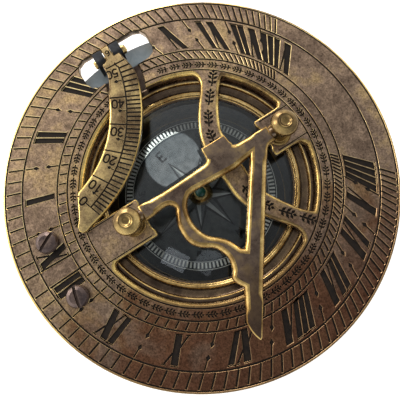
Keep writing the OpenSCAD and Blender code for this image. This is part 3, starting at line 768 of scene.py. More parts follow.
ticks = []
for side, last in ((1, 48), (-1, 50)):
    for k in range(last + 1):
        a = tick_angle(k, side)
        w = 0.41 if k % 6 else 0.46
        for r0, r1 in ((45.25, 48.95), (33.78, 35.68)):
            if k == 0 and r0 < 40:
                r1 = 44.6
            ticks.append(line_poly(on_ray(a, r0), on_ray(a, r1), w))
        if k % 6 == 3:
            a0, a1 = on_ray(a, 36.3), on_ray(a, 39.6)
            b0, b1 = on_ray(a, 44.62), on_ray(a, 41.1)
            for p0, p1 in ((a0, a1), (b0, b1)):
                d = (Vector(p1) - Vector(p0)).normalized()
                n = Vector((-d.y, d.x))
                e = Vector(p1)
                s = e - d * 1.5
                m = e - d * 0.85
                w2 = 0.16
                ticks.append([tuple(Vector(p0) + n * w2), tuple(Vector(p0) - n * w2), tuple(s - n * w2), tuple(m - n * 0.5), tuple(e), tuple(m + n * 0.5), tuple(s + n * w2)])
boolean(plate, grooves(ticks, TOP, 0.26, 0.10))

# lines along the edges of the lugs and the strap
edge_lines = []
for sg in (-1, 1):
    edge_lines.append(line_poly((sg * 4.7, 16.7), (sg * 4.7, 29.9), 0.28))
    edge_lines.append(line_poly((0.9 + sg * 4.45, -21.6), (0.9 + sg * 4.45, -30.1), 0.28))
boolean(plate, grooves(edge_lines, TOP, 0.2, 0.03))


# hour numerals
def numeral(text, centre, facing, scale=1.0):
    """Strokes of a Roman numeral with its feet to the rim; three lists of outlines that don't meet inside a list."""
    H = 7.45
    wid = {"I": 1.72, "V": 3.75, "X": 3.9}
    total = sum(wid[c] for c in text) * scale
    s = -total / 2
    thick, thin, serif = [], [], []

    al0 = math.atan2(centre[0], centre[1])

    def P(x, y):
        al = al0 - x / 40.47
        px, py = 40.47 * math.sin(al), 40.47 * math.cos(al)
        return on_ray(math.degrees(math.atan2(px - Q[0], py - Q[1])), 40.47 - y)

    def bar(x0, y0, x1, y1, w):
        dx = w / 2
        return [P(x0 - dx, y0), P(x0 + dx, y0), P(x1 + dx, y1), P(x1 - dx, y1)]

    t, b = H / 2, -H / 2
    for c in text:
        w = wid[c] * scale
        if c == "I":
            thick.append(bar(s + w / 2, t - 0.2, s + w / 2, b + 0.2, 1.42))
            serif += [bar(s + w / 2, t + 0.1, s + w / 2, t - 0.16, w * 0.985), bar(s + w / 2, b + 0.16, s + w / 2, b - 0.1, w * 0.985)]
        elif c == "V":
            thick.append(bar(s + 0.98, t - 0.2, s + w / 2 + 0.0, b + 0.1, 1.72))
            thin.append(bar(s + w - 0.55, t - 0.2, s + w / 2 + 0.35, b + 0.9, 0.52))
            serif += [bar(s + 0.95, t + 0.1, s + 0.95, t - 0.16, 1.9), bar(s + w - 0.6, t + 0.1, s + w - 0.6, t - 0.16, 1.1)]
        else:
            thick.append(bar(s + 0.95, t - 0.2, s + w - 0.95, b + 0.2, 1.68))
            thin += [bar(s + w - 0.6, t - 0.2, s + w / 2 + 0.52, 0.62, 0.52), bar(s + w / 2 - 0.52, -0.62, s + 0.6, b + 0.2, 0.52)]
            serif += [bar(s + 0.85, t + 0.1, s + 0.85, t - 0.16, 1.75), bar(s + w - 0.6, t + 0.1, s + w - 0.6, t - 0.16, 1.15),
                      bar(s + w - 0.85, b + 0.16, s + w - 0.85, b - 0.1, 1.75), bar(s + 0.6, b + 0.16, s + 0.6, b - 0.1, 1.15)]
        s += w
    return thick, thin, serif


def hour_place(k, side, r=40.47):
    p = on_ray(tick_angle(k, side), r)
    l = math.hypot(*p)
    return p, (p[0] / l, p[1] / l)


marks = [("XI", 6, -1), ("X", 12, -1), ("IX", 18, -1), ("VIII", 24, -1), ("VII", 30, -1), ("VI", 36, -1), ("V", 42, -1), ("IIII", 48, -1),
         ("I", 6, 1), ("II", 12, 1), ("III", 18, 1), ("V", 30, 1), ("VI", 36, 1), ("VII", 42, 1), ("VIII", 48.6, 1)]
groups = ([], [], [])
for text, k, side in marks:
    c, f = hour_place(k, side)
    for g, part in zip(groups, numeral(text, c, f)):
        g += part
for text, c in (("X", (4.1, 40.4)), ("II", (-4.2, 40.4))):
    l = math.hypot(*c)
    for g, part in zip(groups, numeral(text, c, (c[0] / l, c[1] / l))):
        g += part
boolean(plate, grooves(groups[0], TOP, 0.34, 0.12))
boolean(plate, grooves(groups[1], TOP, 0.26, 0.03))
boolean(plate, grooves(groups[2], TOP, 0.26, 0.03))


# leaf sprigs
def sprig(p, d, size=1.0):
    """Small branch at p pointing along d: a stem, three pairs of leaves and a leaf at the tip."""
    d = Vector(d).normalized()
    n = Vector((-d.y, d.x))
    p = Vector(p)
    out = []

    def leaf(at, ang, l, w):
        a = p + d * at * size
        u = (d * math.cos(ang) + n * math.sin(ang))
        v = Vector((-u.y, u.x))
        s0 = a + u * 0.1 * size
        q = [s0, s0 + u * l * 0.45 * size - v * w * size, s0 + u * l * size, s0 + u * l * 0.45 * size + v * w * size]
        out.append([(x.x, x.y) for x in q])

    for at, l in ((-0.95, 0.95), (-0.15, 1.1), (0.6, 0.9)):
        for sg in (1, -1):
            leaf(at, sg * math.radians(50), l, 0.27)
    leaf(0.85, 0.0, 0.8, 0.26)
    stem = line_poly(p - d * 1.35 * size, p + d * 0.93 * size, 0.3 * size)
    return [stem], out


stems, leaves = [], []
for i in range(60):
    a = math.radians(6 * i + 3)
    p = (31.93 * math.cos(a), 31.93 * math.sin(a))
    if p[0] > 28.5 and -6.5 < p[1] < 8:
        continue
    s, l = sprig(p, (-math.sin(a), math.cos(a)), 1.04)
    stems += s
    leaves += l
for sg in (1, -1):
    path = smooth([(5.5, SY - 3.1), (9.0, SY - 3.5), (12.4, SY - 4.9), (15.8, SY - 7.0), (19.0, SY - 9.6), (22.0, SY - 12.2), (24.6, SY - 13.6)], 10)
    acc, last = 0.0, path[0]
    want = 2.4
    for i in range(1, len(path)):
        q = path[i]
        acc += math.hypot(q[0] - last[0], q[1] - last[1])
        if acc >= want:
            d = (q[0] - last[0], q[1] - last[1])
            s, l = sprig((sg * q[0], q[1]), (sg * d[0], d[1]), 1.55)
            stems += s
            leaves += l
            want += 5.5
        last = q
for k in range(7):
    boolean(plate, grooves(leaves[k::7], TOP, 0.24, 0.015))
boolean(plate, grooves(stems, TOP, 0.25, 0.015))


def holes_for_pins(o):
    for x in (-7.7, 7.7):
        boolean(o, solid("c", circle(1.52, 40, x, 39.6), 20, 30))
    for y in (19.1, -23.9):
        boolean(o, solid("c", circle(1.52, 40, 0, y), 20, 30))


holes_for_pins(plate)
set_mats(plate, *MATS)
shade(plate, 30)
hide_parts("dial_plate")
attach(plate, "plate")
print("plate faces", len(plate.data.polygons))

# ------------------------------------------------------------------ gnomon

AXZ = 33.2
scroll_out = smooth([(-2.0, 15.6), (-1.95, 13.5), (-1.6, 10.4), (-1.9, 9.0), (-3.0, 8.3), (-4.6, 9.0), (-7.1, 10.0), (-11, 10.0), (-13.7, 8.4),
                     (-15.3, 6.1), (-16.6, 4.9), (-19.1, 4.15), (-21.7, 4.6), (-23.4, 5.8), (-25.0, 5.6), (-26.7, 4.6)], 6)
tip = smooth([(-33.3, 8.35), (-34.9, 8.45), (-36.4, 8.3), (-37.6, 7.95), (-38.05, 7.6), (-37.7, 7.1)], 3)
root = smooth([(-2.75, -17.6), (-2.2, -18.4), (-2.0, -19.4), (-2.0, -20.4)], 4)
heel = smooth([(2.2, -12.4), (2.5, -11.5), (3.4, -10.95), (4.65, -10.8)], 4)
heel_n = smooth([(4.65, -4.2), (3.2, -4.1), (2.4, -3.6), (2.1, -2.6)], 4)
G_OUT = tidy(scroll_out + tip + root + [(2.0, -20.4)] + heel + [(5.6, -10.7), (5.6, -4.3)] + heel_n + [(1.9, 3), (1.75, 9), (2.0, 15.6)], 0.08)
G_IN = tidy([(-2.05, -13.1), (-2.7, -8.8), (-2.4, -3.1), (-2.0, 2.4)] +
            smooth([(-2.2, 3.6), (-3.4, 5.1), (-5.3, 6.1), (-8.6, 6.5), (-12.1, 5.4), (-14.1, 3.4), (-15.9, 1.75), (-19.0, 0.35)], 5) + [(-19.5, -0.3)], 0.08)


def g_edge(q):
    x, y = q
    if x < -31.0:
        return 0.35
    if x > 2.8:
        return 0.4
    if y < -16.5 or y > 13.0:
        return 0.6
    return 1.15


gn = slab("gnomon_casting", [dense(G_OUT), dense(G_IN)], AXZ - 1.2, AXZ + 1.2, g_edge, 0.5, 5, mats=(0, 1, 1))


def bar_y(name, x, y0, y1, z, r, n=32):
    b = Build()
    v = [(x + r * math.cos(2 * math.pi * i / n), y0, z + r * math.sin(2 * math.pi * i / n)) for i in range(n)] + \
        [(x + r * math.cos(2 * math.pi * i / n), y1, z + r * math.sin(2 * math.pi * i / n)) for i in range(n)]
    f = [(i, i + n, (i + 1) % n + n, (i + 1) % n) for i in range(n)] + [tuple(range(n)), tuple(reversed(range(n, 2 * n)))]
    b.add(v, f, 0)
    return b.obj(name)


for y0, y1 in ((14.6, 16.4), (-21.2, -19.6)):
    boolean(gn, bar_y("c", 0, y0, y1, AXZ, 1.2), "UNION")
boolean(gn, bar_y("c", 0, 13.6, 30, AXZ, 0.82))
boolean(gn, bar_y("c", 0, -35, -18.4, AXZ, 0.82))
set_mats(gn, M_GNOMON, M_GNOMON_E)
shade(gn, 40)
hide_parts("gnomon")
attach(gn, "gnomon")

# ------------------------------------------------------------------ bezel, turned


def turned_ring(name, prof, n=240, first=0, mats=()):
    """Ring with a closed profile; mats: (from, to, index) for runs of the profile."""
    b = Build()
    k = len(prof)
    v, f, m = [], [], []
    for i in range(n):
        a = 2 * math.pi * i / n
        v += [(r * math.cos(a), r * math.sin(a), z) for r, z in prof]
    for i in range(n):
        j = (i + 1) % n
        for q in range(k):
            q2 = (q + 1) % k
            f.append((i * k + q, i * k + q2, j * k + q2, j * k + q))
            m.append(next((x for a0, a1, x in mats if a0 <= q < a1), 0))
    b.add(v, f, m)
    o = b.obj(name)
    bm = bmesh.new()
    bm.from_mesh(o.data)
    bmesh.ops.recalc_face_normals(bm, faces=bm.faces)
    bm.to_mesh(o.data)
    bm.free()
    return o


bz = [(28.62, 18.4), (30.4, 18.4), (30.6, 18.7), (30.6, 23.1)]
bz += smooth([(30.55, 23.4), (30.35, 23.75), (30.0, 23.95), (29.6, 24.0)], 3) + [(28.95, 24.0)]
e0 = len(bz)
bz += smooth([(28.6, 23.98), (28.36, 23.86), (28.24, 23.6), (28.2, 23.3)], 4)
e1 = len(bz)
bz += [(28.15, 22.95), (27.9, 22.75), (27.0, 22.7), (26.55, 22.6), (26.45, 22.35), (26.3, 22.3)]
e2 = len(bz)
bz += smooth([(26.22, 22.5), (26.15, 22.85), (25.95, 23.12), (25.68, 23.2), (25.4, 23.1), (25.2, 22.85), (25.12, 22.5)], 4)
e3 = len(bz)
bz += [(24.9, 22.3), (24.45, 22.25), (24.4, 21.95), (26.3, 21.95), (26.3, 20.0), (28.62, 20.0)]
bezel = turned_ring("bezel_turned", bz, 240, 0, ((e0, e1, 1), (e2, e3, 1)))
set_mats(bezel, M_BEZEL, M_BEAD)
shade(bezel, 40)
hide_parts("bezel_ring")
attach(bezel, "base")

# ------------------------------------------------------------------ posts, turned


def lathe(name, prof, cx, cy, n=72, mat=0):
    """Closed turned solid: profile from the axis at the bottom to the axis at the top."""
    b = Build()
    v = [(cx + r * math.cos(2 * math.pi * i / n), cy + r * math.sin(2 * math.pi * i / n), z) for r, z in prof[1:-1] for i in range(n)]
    k = len(prof) - 2
    f = [((j * n + i), (j * n + (i + 1) % n), ((j + 1) * n + (i + 1) % n), ((j + 1) * n + i)) for j in range(k - 1) for i in range(n)]
    f += [tuple(reversed(range(n))), tuple(range((k - 1) * n, k * n))]
    b.add(v, f, mat)
    return b.obj(name)


HZ = 34.8
for y, name in ((19.1, "north_post"), (-23.9, "south_post")):
    body = [(1.5, 25.1), (1.5, 27.8), (2.38, 27.8)] + smooth([(2.38, 27.85), (2.15, 28.2), (2.0, 28.9), (2.0, 30.6), (2.2, 31.3), (2.4, 31.8)], 4) + [(2.4, HZ - 0.25)]
    head = smooth([(2.75, HZ - 0.05), (3.12, HZ + 0.2), (3.29, HZ + 0.6), (3.27, HZ + 1.0), (3.08, HZ + 1.45), (2.72, HZ + 1.85), (2.3, HZ + 2.15), (1.92, HZ + 2.38),
                   (1.62, HZ + 2.46), (1.38, HZ + 2.38), (1.12, HZ + 2.14), (0.8, HZ + 1.97), (0.4, HZ + 1.91)], 5)
    po = lathe(name + "_turned", [(0, 25.1)] + body + head + [(0, HZ + 1.9)], 0, y)
    sg = 1 if y < 0 else -1
    boolean(po, bar_y("c", 0, min(y - sg * 0.4, y + sg * 10), max(y - sg * 0.4, y + sg * 10), AXZ, 0.86))
    set_mats(po, M_POST)
    shade(po, 50)
    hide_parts(name)
    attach(po, "plate")

# ------------------------------------------------------------------ latitude arc

AZ0, AZ1 = 27.4, 28.9
AX, AZP = 42.0, 26.3
X1 = AX - 1.65
A_OUT = [(AX + 1.8, 0.75), (X1, 0.75)] + smooth([(X1 - 0.05, -0.85), (X1 - 1.85, -1.3), (X1 - 3.35, -1.6), (X1 - 5.75, -1.85), (X1 - 8.2, -1.65)], 4) + \
        [apt(AR1, a) for a in range(18, 83, 2)] + \
        [apt(AR1 + 0.3, 84.8), apt(AR1 + 0.1, 86.2), apt(AR1 - 0.7, 87), apt(AR1 - 1.9, 86.6), apt(AR1 - 2.9, 84.8), apt(AR0 + 2.6, 81.6), apt(AR0 + 0.5, 78.8), apt(AR0, 77)] + \
        [apt(AR0, a) for a in range(75, 19, -2)] + \
        smooth([(X1 - 7.3, 6.55), (X1 - 4.95, 5.4), (X1 - 2.95, 4.8), (X1 - 0.75, 4.6), (X1 - 0.5, 3.8)], 4) + [(X1, 2.8), (AX + 1.8, 2.8)]
arc = slab("latitude_arc_engraved", [dense(tidy(A_OUT, 0.05))], AZ0, AZ1, lambda q: (0.62 if math.hypot(q[0] - ACX, q[1] - ACY) < 31.5 and q[0] < 37 else 0.42) if q[0] < 39.4 and math.hypot(q[0] - 5.5, q[1] - 30.4) > 3.0 else 0.16, 0.15, 4, mats=(0, 3, 0))
knuckle = bar_y("c", AX, 0.75, 2.8, AZP, 1.5, 40)
boolean(arc, knuckle, "UNION")
web = solid("c", [(AX - 1.5, 0.76), (AX + 1.5, 0.76), (AX + 1.5, 2.79), (AX - 1.5, 2.79)], AZP, AZ0 + 0.3)
boolean(arc, web, "UNION")
boolean(arc, bar_y("c", AX, -10, 10, AZP, 0.8, 32))


tens = [50, 40, 30, 20, 10, 0]
deg_in = {50: 8.4, 40: 24.3, 30: 38.4, 20: 52.2, 10: 66.2, 0: 78.6}
deg_out = {50: 7.6, 40: 24.9, 30: 37.6, 20: 50.4, 10: 64.8, 0: 77.2}


def sep_r(a):
    return 32.15 + 0.012 * max(0.0, a - 30.0)


def deg_at(t, r):
    f = (r - AR0) / (AR1 - AR0)
    return deg_in[t] * (1 - f) + deg_out[t] * f


lines = [line_poly((38.25, 4.3), (37.95, -1.05), 0.38)]
for t in tens[1:-1]:
    lines.append(line_poly(apt(AR0 + 0.35, deg_in[t]), apt(AR1 - 0.35, deg_out[t]), 0.38))
lines.append(line_poly(apt(AR0 + 0.35, deg_at(0, AR0 + 0.35)), apt(AR0 + 1.15, deg_at(0, AR0 + 1.15)), 0.32))
lines.append(line_poly(apt(AR0 + 3.6, deg_at(0, AR0 + 3.6)), apt(AR1 - 0.35, deg_out[0]), 0.32))
for t0, t1 in zip(tens[:-1], tens[1:]):
    for j in range(1, 7):
        r0 = sep_r((deg_in[t0] + deg_in[t1]) / 2) + 0.1
        a_i = deg_at(t0, r0) + (deg_at(t1, r0) - deg_at(t0, r0)) * j / 7
        a_o = deg_out[t0] + (deg_out[t1] - deg_out[t0]) * j / 7
        lines.append(line_poly(apt(r0, a_i), apt(AR1 - 0.3, a_o), 0.46))
sep = [(38.6, 1.6), (37.4, 1.55)] + [apt(sep_r(a), a) for a in [9.5 + i * (77.5 - 9.5) / 60 for i in range(61)]]
boolean(arc, grooves([ribbon(sep, 0.38)], AZ1, 0.2, 0.02))
boolean(arc, grooves(lines, AZ1, 0.2, 0.02))
arrows = []
for t0, t1 in zip(tens[:-1], tens[1:]):
    a = (deg_in[t0] + deg_in[t1]) / 2
    p0, p1 = Vector(apt(sep_r(a) - 0.25, a)), Vector(apt(sep_r(a) - 2.4, a))
    d = (p1 - p0).normalized()
    n = Vector((-d.y, d.x))
    s, m2 = p1 - d * 1.15, p1 - d * 0.7
    arrows.append([tuple(p0 + n * 0.14), tuple(p0 - n * 0.14), tuple(s - n * 0.14), tuple(m2 - n * 0.5), tuple(p1), tuple(m2 + n * 0.5), tuple(s + n * 0.14)])
boolean(arc, grooves(arrows, AZ1, 0.2, 0.04))

# digits drawn as strokes in a 1 x 1.6 cell
DIG = {
    "0": [smooth([(0.5, 1.6), (0.12, 1.4), (0.0, 0.8), (0.12, 0.2), (0.5, 0.0), (0.88, 0.2), (1.0, 0.8), (0.88, 1.4), (0.5, 1.6)], 5)],
    "1": [[(0.2, 1.25), (0.55, 1.6), (0.55, 0.0)]],
    "2": [smooth([(0.05, 1.2), (0.2, 1.52), (0.55, 1.6), (0.9, 1.4), (0.92, 1.05), (0.6, 0.65), (0.05, 0.02)], 4) + [(1.0, 0.02)]],
    "3": [smooth([(0.08, 1.4), (0.35, 1.6), (0.75, 1.55), (0.88, 1.25), (0.7, 0.95), (0.4, 0.86)], 4) + smooth([(0.4, 0.84), (0.8, 0.74), (0.98, 0.42), (0.75, 0.08), (0.35, 0.0), (0.05, 0.2)], 4)],
    "4": [[(0.78, 0.0), (0.78, 1.6), (0.0, 0.5), (1.05, 0.5)]],
    "5": [[(0.95, 1.58), (0.25, 1.58), (0.15, 0.92)] + smooth([(0.15, 0.92), (0.55, 1.02), (0.92, 0.8), (0.95, 0.35), (0.6, 0.0), (0.1, 0.12)], 4)],
    "6": [smooth([(0.85, 1.5), (0.45, 1.45), (0.1, 0.95), (0.08, 0.4), (0.4, 0.02), (0.8, 0.12), (0.95, 0.5), (0.7, 0.88), (0.3, 0.8), (0.12, 0.55)], 4)],
}


def digits(text, centre, up, height=2.0, w=0.34):
    up = Vector(up).normalized()
    right = Vector((up.y, -up.x))
    k = height / 1.6
    total = len(text) * 1.0 * k + (len(text) - 1) * 0.32 * k
    x0 = -total / 2
    out = []
    for ch in text:
        for path in DIG[ch]:
            pts = []
            for px, py in path:
                q = Vector(centre) + right * (x0 + px * k) + up * ((py - 0.8) * k)
                pts.append((q.x, q.y))
            out.append(pts)
        x0 += 1.32 * k
    return out


def stroke_cutters(paths, top, w, depth, c=0.04):
    """One cutter for each path; a path may cross itself, so each is made from short bars that are joined first."""
    res = []
    for pts in paths:
        base = None
        for a, b in zip(pts[:-1], pts[1:]):
            if math.hypot(a[0] - b[0], a[1] - b[1]) < 1e-4:
                continue
            d = (Vector(b) - Vector(a)).normalized() * (w * 0.3)
            p = line_poly(tuple(Vector(a) - d), tuple(Vector(b) + d), w)
            o = Build()
            o.prism(p, top - depth, top + 0.1, 2)
            o = o.obj("s")
            if base is None:
                base = o
            else:
                boolean(base, o, "UNION")
        if base is not None:
            res.append(base)
    return res


for t in tens:
    a = deg_in[t] + 3.6 if t else deg_at(0, AR0 + 2.35)
    rr = (AR0 + sep_r(a)) / 2 + 0.1
    c = apt(rr, a)
    # tops to the free end: up is the direction of growing angle
    e = 0.01
    up = Vector(apt(rr, a + e)) - Vector(apt(rr, a - e))
    for cutter in stroke_cutters(digits(str(t), c, up, 2.1), AZ1, 0.42, 0.2):
        boolean(arc, cutter)
for cutter in stroke_cutters(digits("6", (AX - 0.2, 1.75), (-1, 0), 1.5), AZ1, 0.3, 0.2):
    boolean(arc, cutter)
set_mats(arc, M_ARC, M_CHAM, M_INK, M_RIM_BURNISH_AND_PAINTED_LIGHT)
shade(arc, 30)
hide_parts("latitude_arc")
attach(arc, "arc")
print("arc faces", len(arc.data.polygons))

# ------------------------------------------------------------------ compass card

CZ = 12.0


def printed(name, polys, z, mat, h=0.04, body="card"):
    b = Build()
    for p in polys:
        b.prism(p, z, z + h)
    o = b.obj(name)
    set_mats(o, mat)
    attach(o, body)
    return o


M_CARD = satin("card_dark", (0.014, 0.017, 0.020), (0.030, 0.034, 0.038), (0.35, 0.5), extra={"Specular IOR Level": 0.12})
M_WHITE = satin("card_white", (0.60, 0.60, 0.56), (0.80, 0.79, 0.74), (0.4, 0.55))
M_INKC = satin("card_black", (0.008, 0.008, 0.009), (0.018, 0.018, 0.02), (0.35, 0.5), extra={"Specular IOR Level": 0.12})
M_SILVER = satin("card_grey", (0.16, 0.17, 0.17), (0.26, 0.27, 0.265), (0.3, 0.45))
M_FACE = satin("card_face", (0.038, 0.041, 0.044), (0.064, 0.067, 0.070), (0.4, 0.55), extra={"Specular IOR Level": 0.12})
M_LIGHT = satin("card_light", (0.10, 0.105, 0.105), (0.16, 0.165, 0.16), (0.4, 0.55), extra={"Specular IOR Level": 0.12})
CROT = math.radians(14)


def cpt(r, deg):
    """On the card: degrees clockwise from its N."""
    a = math.pi / 2 + CROT - math.radians(deg)
    return (r * math.cos(a), r * math.sin(a))


white = [band(21.75, 0.16, 0, 0, 240, a, a + 90.0) for a in (0, 90, 180, 270)]
white += [band(19.55, 0.12, 0, 0, 240, a, a + 90.0) for a in (0, 90, 180, 270)]
for i in range(120):
    a = i * 3
    white.append([cpt(19.75, a - 0.7), cpt(19.75, a + 0.7), cpt(21.35, a + 0.7), cpt(21.35, a - 0.7)])
white = [tidy(p, 0.001) for p in white]
printed("card_scale", white, CZ, M_WHITE)
# grey field inside the scale, with a finely toothed rim
printed("card_field", [[cpt(18.95 if i % 2 else 18.7, 1.5 * i) for i in range(240)]], CZ, M_FACE, 0.012)

rose_w, rose_k, rose_g = [], [], []
for i in range(8):
    a = 45 * i
    long_ = i % 2 == 0
    R, r = ((15.7 if i == 0 else 12.0), 3.9) if long_ else (9.6, 3.6)
    tipp, l, rt = cpt(R, a), cpt(r, a - 22.5), cpt(r, a + 22.5)
    inner = cpt(1.0, a)
    dst_l, dst_r = (rose_k, rose_w)
    cl, crt, ct = cpt(r - 0.0, a - 22.5), cpt(r, a + 22.5), cpt(R, a)
    # left half dark, right half light, both outlined
    rose_g.append([cpt(R + 1.3, a), cpt(r + 0.7, a + 27.0), cpt(0.5, a), cpt(r + 0.7, a - 27.0)])
    rose_k.append([cpt(R, a), cpt(1.2, a), cpt(r - 0.1, a - 21)])
    rose_w.append([cpt(R, a), cpt(r - 0.1, a + 21), cpt(1.2, a)])
z = CZ
for n, p in enumerate(rose_g[1::2] + rose_g[0::2]):
    printed("rose_line_%d" % n, [p], CZ + 0.001 * (n + 1), M_INKC, 0.02)
order = [1, 3, 5, 7, 0, 2, 4, 6]
for n, i in enumerate(order):
    printed("rose_dark_%d" % i, [rose_k[i]], CZ + 0.03 + 0.0015 * n, M_FACE, 0.02)
    printed("rose_grey_%d" % i, [rose_w[i]], CZ + 0.03 + 0.0015 * n, M_SILVER if i in (5, 6, 7) else M_LIGHT, 0.02)


def letter_paths(ch):
    return {"N": [[(0, 0), (0, 1.6), (1, 0), (1, 1.6)]], "E": [[(0.95, 0), (0, 0), (0, 1.6), (0.95, 1.6)], [(0, 0.82), (0.75, 0.82)]],
            "W": [[(0, 1.6), (0.3, 0), (0.6, 1.3), (0.9, 0), (1.2, 1.6)]],
            "S": [smooth([(0.95, 1.35), (0.6, 1.6), (0.2, 1.5), (0.08, 1.2), (0.3, 0.92), (0.75, 0.72), (0.92, 0.4), (0.75, 0.08), (0.35, 0.0), (0.03, 0.25)], 4)]}[ch]


def card_text(name, text, deg, r, h, w):
    up = Vector(cpt(1, deg)).normalized()
    right = Vector((up.y, -up.x))
    k = h / 1.6
    polys = []
    x0 = -(len(text) + (len(text) - 1) * 0.3) * k / 2
    for ch in text:
        for path in letter_paths(ch):
            pts = [Vector(cpt(r, deg)) + right * (x0 + x * k) + up * ((y - 0.8) * k) for x, y in path]
            polys.append(ribbon([(q.x, q.y) for q in pts], w))
        x0 += 1.3 * k
    return polys


lw = []
for t, d in (("E", 90), ("S", 180), ("W", 270)):
    lw += card_text("c", t, d, 15.9, 2.8, 0.72)
for t, d in (("NE", 45), ("SE", 135), ("SW", 225), ("NW", 315)):
    lw += card_text("c", t, d, 17.0, 1.7, 0.36)
printed("card_letters", lw, CZ + 0.001, M_INKC, 0.03)

# ------------------------------------------------------------------ materials of the carried-over nodes

M_CARDDISC = M_CARD
M_LINER = satin("liner_black", (0.008, 0.009, 0.010), (0.02, 0.022, 0.024), (0.4, 0.6))
M_GASKET = satin("gasket_rubber", (0.010, 0.010, 0.010), (0.03, 0.027, 0.024), (0.55, 0.75))
M_STEEL = satin("needle_steel", (0.16, 0.20, 0.28), (0.26, 0.31, 0.40), (0.2, 0.35), metal=1.0, scale=900)
M_PIVOT = satin("pivot_steel", (0.45, 0.44, 0.42), (0.60, 0.59, 0.57), (0.2, 0.32), metal=1.0, scale=900)
M_JEWEL = satin("jewel_green", (0.004, 0.05, 0.035), (0.010, 0.10, 0.07), (0.06, 0.12), extra={"Coat Weight": 1.0})

gm, nt = mat_new("crystal")
tc = N(nt, "ShaderNodeTexCoord")
ng = noise(nt, tc.outputs["Object"], 90, 3)
tr = N(nt, "ShaderNodeBsdfTransparent")
tint = ramp(nt, ng, [(0.35, (0.90, 0.93, 0.94)), (0.65, (0.96, 0.97, 0.97))])
nt.links.new(tint, tr.inputs["Color"])
gl = N(nt, "ShaderNodeBsdfGlossy")
gl.inputs["Color"].default_value = (0.9, 0.95, 1.0, 1)
nt.links.new(grey(nt, ng, 0.3, 0.7, 0.012, 0.025), gl.inputs["Roughness"])
lw_ = N(nt, "ShaderNodeLayerWeight")
lw_.inputs["Blend"].default_value = 0.5
ms = N(nt, "ShaderNodeMixShader")
nt.links.new(grey(nt, lw_.outputs["Facing"], 0.0, 1.0, 0.014, 0.7), ms.inputs[0])
nt.links.new(tr.outputs[0], ms.inputs[1])
nt.links.new(gl.outputs[0], ms.inputs[2])
out = N(nt, "ShaderNodeOutputMaterial")
nt.links.new(ms.outputs[0], out.inputs[0])

for names, mat_ in (
    (("base_plate", "compass_bowl", "hinge_lower_leaf", "hinge_upper_leaf"), M_BODY),
    (("base_screws", "hinge_lower_screws", "arc_bracket_screws"), M_SCREW),
    (("hinge_screws",), M_SCREW),
    (("bowl_liner",), M_LINER),
    (("pivot_post",), M_PIVOT),
    (("glass_gasket",), M_GASKET),
    (("crystal_glass",), gm),
    (("compass_card",), M_CARDDISC),
    (("card_magnet",), M_STEEL),
    (("arc_pin", "hinge_pin", "gnomon_pins"), M_PIN),
    (("card_hub",), M_BEAD),
    (("card_jewel",), M_JEWEL),
    (("arc_bracket",), M_BRACKET),
    (("post_collars",), M_POST),
):
    for n in names:
        set_mats(NODES[n], mat_)

# ------------------------------------------------------------------ floor, light, camera

fm, nt = mat_new("floor_white")
tc = N(nt, "ShaderNodeTexCoord")
fn = noise(nt, tc.outputs["Object"], 30, 3)
finish_mat(nt, ramp(nt, fn, [(0.3, (0.93, 0.93, 0.93)), (0.7, (0.95, 0.95, 0.95))]), 0.9, 0.0,
           extra={"Emission Color": (1.0, 1.0, 1.0, 1.0), "Emission Strength": 0.50})
floor = new_mesh("floor", [(-1.5, -1.5, -0.0002), (1.5, -1.5, -0.0002), (1.5, 1.5, -0.0002), (-1.5, 1.5, -0.0002)], [(0, 1, 2, 3)], mm=False)
set_mats(floor, fm)


def area_light(name, loc, target, size, power, color=(1, 1, 1), size_y=None):
    d = bpy.data.lights.new(name, "AREA")
    d.energy, d.color = power, color
    d.shape = "RECTANGLE" if size_y else "SQUARE"
    d.size = size
    if size_y:
        d.size_y = size_y
    o = bpy.data.objects.new(name, d)
    o.location = loc
    o.rotation_mode = "QUATERNION"
    o.rotation_quaternion = (Vector(target) - Vector(loc)).to_track_quat("-Z", "Y")
    bpy.context.scene.collection.objects.link(o)
    return o


ctr = (0.0, 0.0, 0.02)
area_light("key", (0.42, 0.40, 0.36), ctr, 0.22, 1.5, (1.0, 0.95, 0.86))
area_light("rim", (0.55, -0.10, 0.28), ctr, 0.25, 2.0, (1.0, 0.97, 0.92))

# small lamps whose images lie in the crystal, seen from above
CAM = Vector((-17.6, 7.4, 125.9))


def lamp_over(name, cx, cy, wx, wy, turn, level, h=300.0, zg=21.95):
    """Lamp at height h that the crystal shows at (cx, cy) with the size wx by wy, all in mm."""
    k = (h - zg) / (CAM.z - zg)
    x, y = cx + (cx - CAM.x) * k, cy + (cy - CAM.y) * k
    k1 = 1 + k
    o = area_light(name, (x * MM, y * MM, h * MM), (x * MM, y * MM, 0.0), wx * k1 * MM, level * math.pi * wx * wy * k1 * k1 * 1e-6, (0.95, 0.97, 1.0), wy * k1 * MM)
    o.rotation_mode = "XYZ"
    o.rotation_euler = (0, 0, math.radians(turn))
    return o


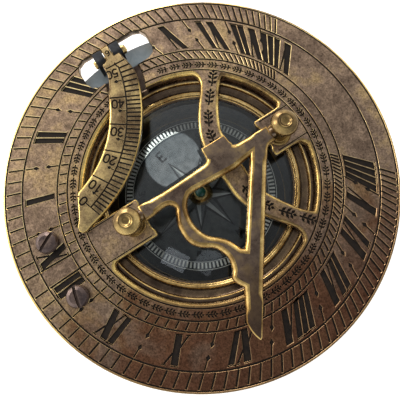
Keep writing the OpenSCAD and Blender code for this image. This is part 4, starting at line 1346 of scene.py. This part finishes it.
# narrow beam on the card alone: the light patch in the opening beside the arc
bd = bpy.data.lights.new("beam", "SPOT")
bd.energy, bd.color = 13.0, (1.0, 0.99, 0.95)
bd.shadow_soft_size = 0.0003
bd.spot_size = 2 * math.atan(8.2 / 307)
bd.spot_blend = 0.04
beam = bpy.data.objects.new("beam", bd)
beam.location = (-66.6 * MM, 16.4 * MM, 308 * MM)
beam.rotation_mode = "QUATERNION"
beam.rotation_quaternion = (Vector((12.8, 1.4, 12.0)) * MM - Vector(beam.location)).to_track_quat("-Z", "Y")
bpy.context.scene.collection.objects.link(beam)
lit = bpy.data.collections.new("card_beam")
for o in bpy.data.objects:
    if o.type == "MESH" and (o.name.startswith(("card_scale", "card_field", "card_letters", "rose_")) or o == NODES["compass_card"]):
        lit.objects.link(o)
beam.light_linking.receiver_collection = lit
lamp_over("pane_2", -12.6, 15.4, 6.4, 4.6, 32, 2.4)
lamp_over("pane_3", -17.0, 7.9, 5.0, 7.8, 20, 1.4)

bpy.context.scene.view_settings.view_transform = "Standard"
w = bpy.data.worlds.new("studio")
bpy.context.scene.world = w
w.use_nodes = True
nt = w.node_tree
nt.nodes.clear()
bg, wo, tc = N(nt, "ShaderNodeBackground"), N(nt, "ShaderNodeOutputWorld"), N(nt, "ShaderNodeTexCoord")
nt.links.new(bg.outputs[0], wo.inputs[0])
sep_ = N(nt, "ShaderNodeSeparateXYZ")
nt.links.new(tc.outputs["Generated"], sep_.inputs[0])
# soft white room, darker straight above and lighter on one side
up_ = grey(nt, sep_.outputs["Z"], 0.50, 0.93, 1.0, 0.30)
side_ = math_(nt, "ADD", math_(nt, "MULTIPLY", sep_.outputs["X"], 0.54), math_(nt, "MULTIPLY", sep_.outputs["Y"], 0.12))
lev = math_(nt, "MULTIPLY", up_, math_(nt, "ADD", side_, 1.0))
col = mix(nt, grey(nt, side_, -0.4, 0.5), (0.93, 0.96, 1.0), (1.0, 0.96, 0.88))
nt.links.new(col, bg.inputs["Color"])
nt.links.new(math_(nt, "MULTIPLY", lev, 1.48), bg.inputs["Strength"])

cam_d = bpy.data.cameras.new("camera")
cam = bpy.data.objects.new("camera", cam_d)
bpy.context.scene.collection.objects.link(cam)
bpy.context.scene.camera = cam
cam_d.sensor_width = 36.0
cam_d.sensor_fit = "HORIZONTAL"
cam_d.lens = 36.08
cam_d.clip_start, cam_d.clip_end = 0.005, 10
pos = Vector((-17.6, 7.4, 125.9)) * MM
tgt = Vector((-3.6, 2.0, 27.0)) * MM
f_ = (tgt - pos).normalized()
r_ = f_.cross(Vector((0.8453, -0.5344, 0))).normalized()
u_ = r_.cross(f_)
cam.matrix_world = Matrix(((r_.x, u_.x, -f_.x, pos.x), (r_.y, u_.y, -f_.y, pos.y), (r_.z, u_.z, -f_.z, pos.z), (0, 0, 0, 1)))
